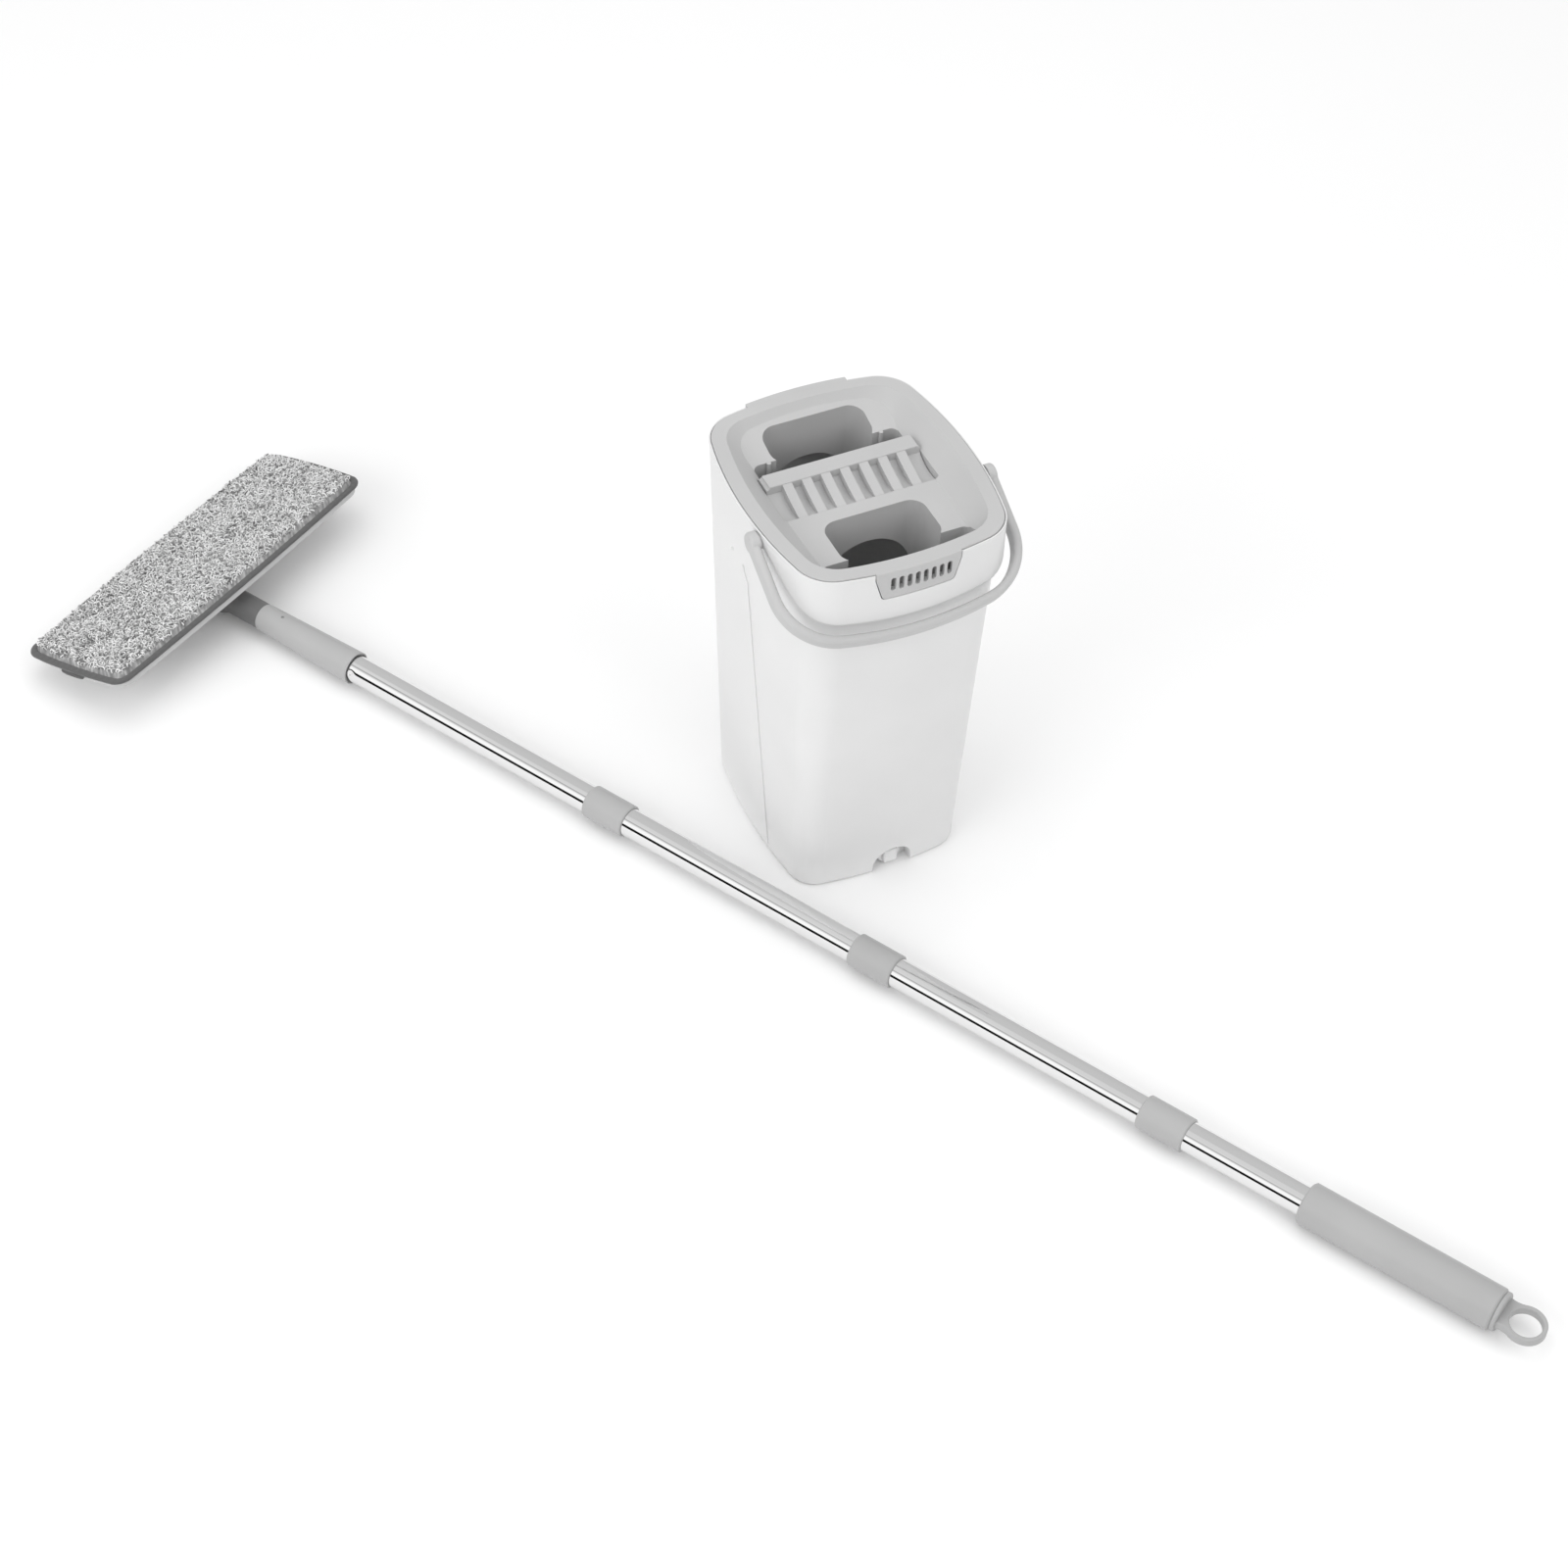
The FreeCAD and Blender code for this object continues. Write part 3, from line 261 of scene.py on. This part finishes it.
def dress(piece, finish):
    """Leave a piece with one material slot that holds this finish."""
    piece.data.materials.clear()
    piece.data.materials.append(finish)


for finish, names in finish_of.items():
    for name in names:
        dress(frame["nodes"][name], finish)

# %% [markdown]
# The lowest tube is held in its sleeve by a crimp: a punch leaves a small dimple on either
# side, right at the sleeve's mouth.  A tube is a profile turned about the pole, out along
# the wall and back along the bore, and a dimple is a smooth dent taken off the radius.

# %% Pole tubes with crimp dimples
side = np.array([-pole[1], pole[0], 0.0])
up = np.array([0.0, 0.0, 1.0])
axis_point = np.array(swing)
CRIMP_DEPTH = 1.1 * MM
CRIMP_WIDTH = 2.6 * MM
WALL = 0.8 * MM


def pole_span(name):
    """Where a node starts and ends along the pole, and its largest radius."""
    local = node_points(name) - axis_point
    along = local @ pole
    across = np.hypot(local @ side, local @ up)
    return along.min(), along.max(), across.max()


def crimped_tube(name, crimps, rows=260, columns=64):
    """Radius less a bell-shaped dent at each crimp, turned about the pole's axis."""
    start, end, radius = pole_span(name)
    along = np.concatenate([np.linspace(start, end, rows), np.linspace(end, start, 12)])
    radii = np.concatenate([np.full(rows, radius), np.full(12, radius - WALL)])
    angle = np.arange(columns) * 2 * np.pi / columns
    grid = np.repeat(radii[:, None], columns, 1)
    outer = (np.arange(len(along)) < rows)[:, None]
    for where, turn in crimps:
        gap = (angle - turn + np.pi) % (2 * np.pi) - np.pi
        bell = np.exp(-((along[:, None] - where) / CRIMP_WIDTH) ** 2
                      - (radius * gap[None, :] / CRIMP_WIDTH) ** 2)
        grid = grid - CRIMP_DEPTH * bell * outer
    points = (axis_point + along[:, None, None] * pole
              + (grid * np.cos(angle))[..., None] * side + (grid * np.sin(angle))[..., None] * up)
    return points, grid_faces(len(along), columns, wrap_rows=True)


sleeve_mouth = pole_span("neck_sleeve")[1]
for number in range(1, 5):
    node = f"pole_section_{number}"
    crimps = [(sleeve_mouth + 3.6 * MM, radians(turn)) for turn in (160, -20)] if number == 1 else []
    points, faces = crimped_tube(node, crimps)
    tube = make_piece(f"pole_tube_{number}", points, faces, "mop", (node,))
    dress(tube, tube_steel)

# %% [markdown]
# The pad is the only soft piece.  Its face is microfibre pile: short twisted loops of
# light and dark yarn, a couple of millimetres apart, standing on a cloth backing whose
# edge is bound with dark tape.  A bump map would lie flat at the silhouette, so the loops
# are real, each a small bent strand of a few dozen faces, set on a crowned body.

# %% The pad's own axes
tilt = np.array(joints["head_tilt"]["pos_m"])
fleece = node_points("pad_fleece")
axes = np.linalg.eigh(np.cov((fleece - fleece.mean(0)).T))[1]
pad_up, pad_wide, pad_long = axes[:, 0], axes[:, 1], axes[:, 2]
pad_up = pad_up * np.sign(pad_up[2])
pad_wide = pad_wide * np.sign(pad_wide @ pole)
pad_long = np.cross(pad_up, pad_wide)


def pad_place(u, v, w):
    """From pad coordinates, measured from the tilt pin, to the row frame."""
    return tilt + u[..., None] * pad_long + v[..., None] * pad_wide + w[..., None] * pad_up


def pad_extent(name):
    """Lowest and highest long, wide and upward coordinate of a node of the pad."""
    local = node_points(name) - tilt
    spans = np.stack([local @ pad_long, local @ pad_wide, local @ pad_up], 1)
    return spans.min(0), spans.max(0)


pile_low, pile_high = pad_extent("pad_fleece")
bound_low, bound_high = pad_extent("pad_binding")
print("pile", np.round((pile_high - pile_low) / MM, 1))
print("bound edge", np.round((bound_high - bound_low) / MM, 1))


# %% Crowned body under the loops
def pile_height(u, v):
    """Share of full height: 1 in the middle, rounding down to 0 over the last 7 mm."""
    edge = np.minimum(half_long - np.abs(u), half_wide - np.abs(v)) / (7.0 * MM)
    crown = np.sqrt(np.clip(1 - (1 - np.clip(edge, 0, 1)) ** 2, 0, 1))
    swell = 0.05 * np.sin(u / (23 * MM)) * np.cos(v / (17 * MM)) + 0.03 * np.sin(u / (9 * MM) + v / (11 * MM))
    return crown * (0.95 + swell)


def shaped(u, v, half_u, half_v, corner):
    """Rectangle to pad outline: pull each corner in to an arc, then bow all four edges.

    With c = how far both |u| and |v| are into the corner square, as a share of its side,
    each moves in by 0.29 * corner * c, and then u loses END_BOW * (v / half_v) ** 2 of its
    reach and v loses SIDE_BOW * (u / half_u) ** 2.
    """
    inside = np.minimum(np.abs(u) - (half_u - corner), np.abs(v) - (half_v - corner))
    pull = 0.29 * np.clip(inside, 0, None)
    u = u - np.sign(u) * pull
    v = v - np.sign(v) * pull
    return bowed(u, v, half_u, half_v)


def bowed(u, v, half_u, half_v):
    """Bow the four edges of an outline outwards in the middle."""
    return (u * (1 - END_BOW / half_u * (v / half_v) ** 2),
            v * (1 - SIDE_BOW / half_v * (u / half_u) ** 2))


END_BOW = 2.8 * MM
SIDE_BOW = 2.6 * MM
CORNER = 9.0 * MM
PILE_SPARE = 2.4 * MM
half_long, half_wide = (pile_high - pile_low)[:2] / 2 + np.array([2.0, 1.0]) * MM
pile_floor = pile_low[2]
pile_top = pile_high[2] - PILE_SPARE
u, v = np.meshgrid(np.linspace(-half_long, half_long, 150),
                   np.linspace(-half_wide, half_wide, 56), indexing="ij")
height = pile_height(u, v)
ru, rv = shaped(u, v, half_long, half_wide, CORNER)
top = pad_place(ru, rv, pile_floor + (pile_top - pile_floor) * height)
base = pad_place(ru, rv, np.full_like(u, pile_floor) - 0.0002 * (height > 0))
rows, columns = u.shape
top_faces = grid_faces(rows, columns, wrap_columns=False)[:, ::-1]
base_faces = top_faces[:, ::-1] + rows * columns
body_points = np.concatenate([top.reshape(-1, 3), base.reshape(-1, 3)])
body_faces = np.concatenate([top_faces, base_faces])

# %% [markdown]
# A loop is an arch of yarn: half a turn from one foot to the other, leaning a little.  All
# loops are worked out at once, as one array of loops by points along by points round.


# %% Loops of yarn
LOOP_PITCH = 2.45 * MM
YARN = 0.58 * MM
RISE = (1.3 * MM, 2.6 * MM)
SPAN = (2.6 * MM, 4.6 * MM)
BEND = 0.55 * MM
EDGE_CLEAR = 2.2 * MM
ALONG = 6
ROUND = 3


def loop_feet():
    """A jittered hexagonal grid of places over the pad."""
    us = np.arange(-half_long + LOOP_PITCH / 2, half_long, LOOP_PITCH)
    vs = np.arange(-half_wide + LOOP_PITCH / 2, half_wide, LOOP_PITCH * 0.87)
    gu, gv = np.meshgrid(us, vs, indexing="ij")
    gu = gu + (np.arange(len(vs)) % 2)[None, :] * LOOP_PITCH / 2
    gu = gu + random.normal(0, LOOP_PITCH * 0.22, gu.shape)
    gv = gv + random.normal(0, LOOP_PITCH * 0.22, gv.shape)
    keep = (np.abs(gu) < half_long - EDGE_CLEAR) & (np.abs(gv) < half_wide - EDGE_CLEAR)
    return shaped(gu[keep], gv[keep], half_long, half_wide, CORNER)


def yarn_loops(feet_u, feet_v):
    """Arch point = foot + span / 2 * cos(t) along + bend * sin(2t) across + rise * sin(t) up."""
    count = len(feet_u)
    heading = random.uniform(0, 2 * np.pi, count)
    span = random.uniform(*SPAN, count)
    rise = random.uniform(*RISE, count)
    lean = random.normal(0, 0.35, (count, 2))
    lean[:, 0] += 0.9 * np.clip(np.abs(feet_u) - (half_long - 5 * MM), 0, None) / (5 * MM) * np.sign(feet_u)
    lean[:, 1] += 0.9 * np.clip(np.abs(feet_v) - (half_wide - 5 * MM), 0, None) / (5 * MM) * np.sign(feet_v)
    turn = np.linspace(0, np.pi, ALONG)[None, :]
    reach = span[:, None] / 2 * np.cos(turn)
    sway = random.normal(0, BEND, (count, 1)) * np.sin(2 * turn)
    climb = rise[:, None] * np.sin(turn)
    ground = pile_floor + (pile_top - pile_floor) * pile_height(feet_u, feet_v) - 0.5 * MM
    cosine, sine = np.cos(heading)[:, None], np.sin(heading)[:, None]
    mid_u = feet_u[:, None] + reach * cosine - sway * sine + climb * lean[:, :1]
    mid_v = feet_v[:, None] + reach * sine + sway * cosine + climb * lean[:, 1:]
    mid_w = ground[:, None] + climb
    centre = np.stack([mid_u, mid_v, mid_w], -1)
    along = np.gradient(centre, axis=1)
    along /= np.linalg.norm(along, axis=-1, keepdims=True)
    flat = np.stack([-np.sin(heading), np.cos(heading), np.zeros(count)], -1)[:, None, :]
    over = np.cross(along, flat)
    over /= np.linalg.norm(over, axis=-1, keepdims=True)
    across = np.cross(over, along)
    angle = np.arange(ROUND) * 2 * np.pi / ROUND
    ring_points = (np.cos(angle)[:, None] * across[..., None, :]
                   + np.sin(angle)[:, None] * over[..., None, :])
    points = centre[..., None, :] + YARN * ring_points
    tone = np.clip(random.normal(0.62, 0.25, count), 0, 1)
    return points, np.repeat(tone, ALONG * ROUND)


feet = loop_feet()
loops, loop_tones = yarn_loops(*feet)
loop_count = len(feet[0])
cells = grid_faces(ALONG, ROUND)
starts = np.arange(loop_count)[:, None, None] * (ALONG * ROUND)
loop_faces = (cells[None] + starts).reshape(-1, 4)
loop_points = pad_place(loops[..., 0], loops[..., 1], loops[..., 2]).reshape(-1, 3)
pile_points = np.concatenate([body_points, loop_points])
pile_faces = np.concatenate([body_faces, loop_faces + len(body_points)])
pile = make_piece("fleece_pile", pile_points, pile_faces, "mop_head", ("pad_fleece",))
# The body under the loops takes tones from 0.1 to 0.45, darker than the loops, which centre on 0.62.
body_tones = random.uniform(0.1, 0.45, len(body_points))
tone = pile.data.attributes.new("yarn_tone", "FLOAT", "POINT")
tone.data.foreach_set("value", np.concatenate([body_tones, loop_tones]).astype(np.float32))
print("loops", loop_count)

# %% Microfibre finish
# Split polyester yarn, light and dark mixed: a speckled grey with a faint velvety rim.
pile_finish, tree, shader, place = new_finish(
    "microfibre_loop_pile", **{"Roughness": 0.85, "Sheen Weight": 0.25, "Sheen Roughness": 0.4})
yarn = add(tree, "ShaderNodeAttribute", attribute_name="yarn_tone")
cloudy = add(tree, "ShaderNodeTexNoise", {"Scale": 1 / (28 * MM), "Detail": 2.0}, {"Vector": place})
shift = add(tree, "ShaderNodeMath", {1: 0.25}, {0: cloudy.outputs["Fac"]}, operation="MULTIPLY")
mottled = add(tree, "ShaderNodeMath", {}, {0: yarn.outputs["Fac"], 1: shift.outputs["Value"]},
              operation="ADD")
yarn_colour = blend_tones(tree, mottled.outputs["Value"],
                          ((0.1, "#565656"), (0.42, "#989898"), (0.62, "#D2D2D2"), (0.95, "#F4F4F4")))
tree.links.new(yarn_colour, shader.inputs["Base Color"])
dress(pile, pile_finish)

# %% [markdown]
# Dark tape is folded over the edge of the pad and sewn down.  Its section is a flat oval
# carried round the pad's rounded rectangle, with small puckers where the stitches pull.


# %% Bound edge and backing
def rounded_path(half_u, half_v, corner, count):
    """Points evenly spaced round a rounded rectangle, with the outward direction at each."""
    straight_u, straight_v = 2 * (half_u - corner), 2 * (half_v - corner)
    quarter = np.pi / 2 * corner
    lengths = np.array([straight_v, quarter, straight_u, quarter] * 2)
    stops = np.concatenate([[0], np.cumsum(lengths)])
    s = np.arange(count) * stops[-1] / count
    part = np.searchsorted(stops, s, side="right") - 1
    within = s - stops[part]
    arc = part % 2 == 1
    heading = (part // 2 + np.where(arc, within / quarter, 0)) * np.pi / 2
    out_u, out_v = np.cos(heading), np.sin(heading)
    corner_u = np.array([1, 1, 1, -1, -1, -1, -1, 1])[part] * (half_u - corner)
    corner_v = np.array([-1, 1, 1, 1, 1, -1, -1, -1])[part] * (half_v - corner)
    run = np.where(arc, 0, within)
    return (corner_u + out_u * corner - out_v * run, corner_v + out_v * corner + out_u * run, out_u, out_v, s)


TAPE_WIDTH = 7.4 * MM
TAPE_THICK = 3.1 * MM
tape_half_u, tape_half_v = (bound_high - bound_low)[:2] / 2 - TAPE_WIDTH / 2 + np.array([2.6, 0.5]) * MM
mid_w = (bound_low[2] + bound_high[2]) / 2
path_u, path_v, out_u, out_v, s = rounded_path(tape_half_u, tape_half_v, 10.0 * MM, 900)
path_u, path_v = bowed(path_u, path_v, tape_half_u, tape_half_v)
section = np.arange(14) * 2 * np.pi / 14
pucker = 1 + 0.05 * np.sin(s / (1.1 * MM))[:, None] + 0.05 * np.sin(s / (19 * MM))[:, None]
across = np.sign(np.cos(section)) * np.abs(np.cos(section)) ** 0.7 * TAPE_WIDTH / 2
rise = np.sign(np.sin(section)) * np.abs(np.sin(section)) ** 0.7 * TAPE_THICK / 2
tape = pad_place(path_u[:, None] + out_u[:, None] * across, path_v[:, None] + out_v[:, None] * across,
                 mid_w + rise[None, :] * pucker)

# A pull tab hangs from the middle of the near end: a flat oval that narrows to nothing at both ends.
TAB_HALF = 14.0 * MM
TAB_REACH = 4.5 * MM
TAB_THICK = 0.9 * MM
near_end = -np.sign(pad_long[0])
along = np.linspace(0, 1, 24)[:, None]
blunt = np.sqrt(1 - np.abs(2 * along - 1) ** 6)
around = np.arange(16)[None, :] * 2 * np.pi / 16 * near_end
tab_v = blunt * TAB_HALF * np.sign(np.cos(around)) * np.abs(np.cos(around)) ** 0.4
tab_u = near_end * (tape_half_u - 1 * MM + TAB_REACH * along) + 0 * tab_v
tab_w = mid_w - 1 * MM - TAB_REACH * along ** 1.5 + blunt * TAB_THICK * np.sin(around)
tab = pad_place(tab_u, tab_v, tab_w)
edge_points = np.concatenate([tape.reshape(-1, 3), tab.reshape(-1, 3)])
edge_faces = np.concatenate([grid_faces(900, 14, wrap_rows=True), grid_faces(24, 16) + 900 * 14])
bound_edge = make_piece("bound_edge", edge_points, edge_faces, "mop_head",
                        ("pad_binding",))

cloth_low, cloth_high = pad_extent("pad_backing")
cloth_half_u, cloth_half_v = (cloth_high - cloth_low)[:2] / 2
path_u, path_v = rounded_path(cloth_half_u, cloth_half_v, 11.0 * MM, 400)[:2]
path_u, path_v = bowed(path_u, path_v, cloth_half_u, cloth_half_v)
shares = np.array([0.0, 0.5, 0.97, 1.0, 1.0, 0.97, 0.5, 0.0])
levels = np.array([1, 1, 1, 0.8, 0.2, 0, 0, 0]) * (cloth_high - cloth_low)[2] + cloth_low[2]
cloth = pad_place(shares[:, None] * path_u, shares[:, None] * path_v, np.repeat(levels[:, None], 400, 1))
backing = make_piece("backing_cloth", cloth, grid_faces(8, 400), "mop_head", ("pad_backing",))


# %% Woven tape and hook tape
def woven(name, dark, light, thread_mm):
    """Plain weave: two crossed waves of thread, drawn at about 1 mm so that they show."""
    finish, tree, shader, place = new_finish(name, **{"Roughness": 0.9, "Sheen Weight": 0.3,
                                                      "Sheen Roughness": 0.5})
    turned = add(tree, "ShaderNodeMapping", {"Rotation": (0, 0, -pole_turn)}, {"Vector": place})
    warp = add(tree, "ShaderNodeTexWave", {"Scale": 0.31 / (thread_mm * MM), "Distortion": 1.0},
               {"Vector": turned.outputs["Vector"]}, bands_direction="X")
    weft = add(tree, "ShaderNodeTexWave", {"Scale": 0.31 / (thread_mm * MM), "Distortion": 1.0},
               {"Vector": turned.outputs["Vector"]}, bands_direction="Y")
    weave = add(tree, "ShaderNodeMath", {}, {0: warp.outputs["Fac"], 1: weft.outputs["Fac"]},
                operation="MULTIPLY")
    cloth_tone = blend_tones(tree, weave.outputs["Value"], ((0.0, dark), (1.0, light)))
    tree.links.new(cloth_tone, shader.inputs["Base Color"])
    relief = add(tree, "ShaderNodeBump", {"Strength": 0.5, "Distance": 0.2 * MM},
                 {"Height": weave.outputs["Value"]})
    tree.links.new(relief.outputs["Normal"], shader.inputs["Normal"])
    return finish


# Dull dark cloth that frames the pile, and a blacker, coarser hook tape behind it.
tape_cloth = woven("dark_woven_polyester_tape", "#505050", "#6E6E6E", 1.0)
dress(bound_edge, tape_cloth)
dress(backing, tape_cloth)
dress(frame["nodes"]["hook_strips"], woven("black_hook_tape", "#1E1E1E", "#3A3A3A", 1.2))

# %% [markdown]
# A pale floor, a grey room, a long bright window on the near side and two soft lamps make
# even studio light.  Below the window the room is dark: the tubes mirror that belt as the
# thin dark line that polished metal shows, with the window as the white stripe above it.

# %% Floor, world and lamps
FLOOR_HALF = 9.0
corners = np.array([[-1, -1, 0], [1, -1, 0], [1, 1, 0], [-1, 1, 0]]) * FLOOR_HALF
mesh = bpy.data.meshes.new("studio_floor")
mesh.from_pydata([tuple(c) for c in corners - [0, 0, 0.0002]], [], [(0, 1, 2, 3)])
floor = bpy.data.objects.new("studio_floor", mesh)
bpy.context.scene.collection.objects.link(floor)
floor_paint, tree, shader, place = new_finish(
    "matt_white_floor_paint", **{"Roughness": 0.9, "Specular IOR Level": 0.1,
                                 "Base Color": linear("#F7F7F7")})
dress(floor, floor_paint)

world = bpy.data.worlds.new("studio_sky")
world.use_nodes = True
tree = world.node_tree
tree.nodes.clear()
direction = add(tree, "ShaderNodeTexCoord").outputs["Generated"]
parts = add(tree, "ShaderNodeSeparateXYZ", links={"Vector": direction})
near_side = add(tree, "ShaderNodeVectorMath", {1: (-side[0], -side[1], 0.0)}, {0: direction},
                operation="DOT_PRODUCT")
near = blend_tones(tree, parts.outputs["Z"],
                   ((0.0, "#101010"), (0.27, "#181818"), (0.31, "#FFFFFF"), (0.60, "#FFFFFF"),
                    (0.70, "#D8D8D8"), (0.76, "#969696"), (0.80, "#DCDCDC"), (0.90, "#D6D6D6")))
far = blend_tones(tree, parts.outputs["Z"], ((0.0, "#BEBEBE"), (0.9, "#C6C6C6")))
facing = add(tree, "ShaderNodeMapRange", {"From Min": -0.05, "From Max": 0.05},
             {"Value": near_side.outputs["Value"]})
sky = add(tree, "ShaderNodeMix", {}, {0: facing.outputs["Result"], 6: far, 7: near}, data_type="RGBA")
backdrop = add(tree, "ShaderNodeBackground", {"Strength": 1.2}, {"Color": sky.outputs[2]})
add(tree, "ShaderNodeOutputWorld", links={"Surface": backdrop.outputs["Background"]})
bpy.context.scene.world = world


def soft_lamp(name, place, aim, size, power):
    """A square area lamp turned towards a point."""
    lamp = bpy.data.lights.new(name, "AREA")
    lamp.size = size
    lamp.energy = power
    holder = bpy.data.objects.new(name, lamp)
    holder.location = place
    holder.rotation_euler = (Vector(aim) - Vector(place)).to_track_quat("-Z", "Y").to_euler()
    holder.visible_glossy = False
    bpy.context.scene.collection.objects.link(holder)


soft_lamp("key_softbox", (1.0, -2.4, 2.6), (0, 0, 0.1), 2.4, 22.0)
soft_lamp("fill_softbox", (-2.8, -0.9, 1.4), (0, 0, 0.1), 2.4, 34.0)
soft_lamp("top_softbox", (0.0, 0.6, 3.4), (0, 0, 0), 3.2, 30.0)
bpy.context.scene.view_settings.view_transform = "Standard"

# %% [markdown]
# The camera stands high at the front left, as one looks down at a bucket on the floor.  A
# long lens keeps the perspective gentle, and the view leans by under two degrees.

# %% Camera
AZIMUTH, ELEVATION, LEAN = radians(-25.92), radians(46.06), radians(1.77)
DISTANCE = 2.58306
ACROSS, UPWARD = -0.05215, -0.11189
back = Vector((sin(AZIMUTH) * cos(ELEVATION), -cos(AZIMUTH) * cos(ELEVATION), sin(ELEVATION)))
right = Vector((cos(AZIMUTH), sin(AZIMUTH), 0))
upright = back.cross(right)
lean_right = right * cos(LEAN) + upright * sin(LEAN)
lean_up = upright * cos(LEAN) - right * sin(LEAN)
aim = Vector((0, 0, cad_high.z / 2))
camera_data = bpy.data.cameras.new("camera")
camera_data.lens = 72.41
camera_data.clip_start = 0.05
camera_data.clip_end = 60.0
camera = bpy.data.objects.new("camera", camera_data)
bpy.context.scene.collection.objects.link(camera)
turn = Matrix((lean_right, lean_up, back)).transposed().to_4x4()
stand = aim + back * DISTANCE + lean_right * ACROSS + lean_up * UPWARD
camera.matrix_world = Matrix.Translation(stand) @ turn
bpy.context.scene.camera = camera
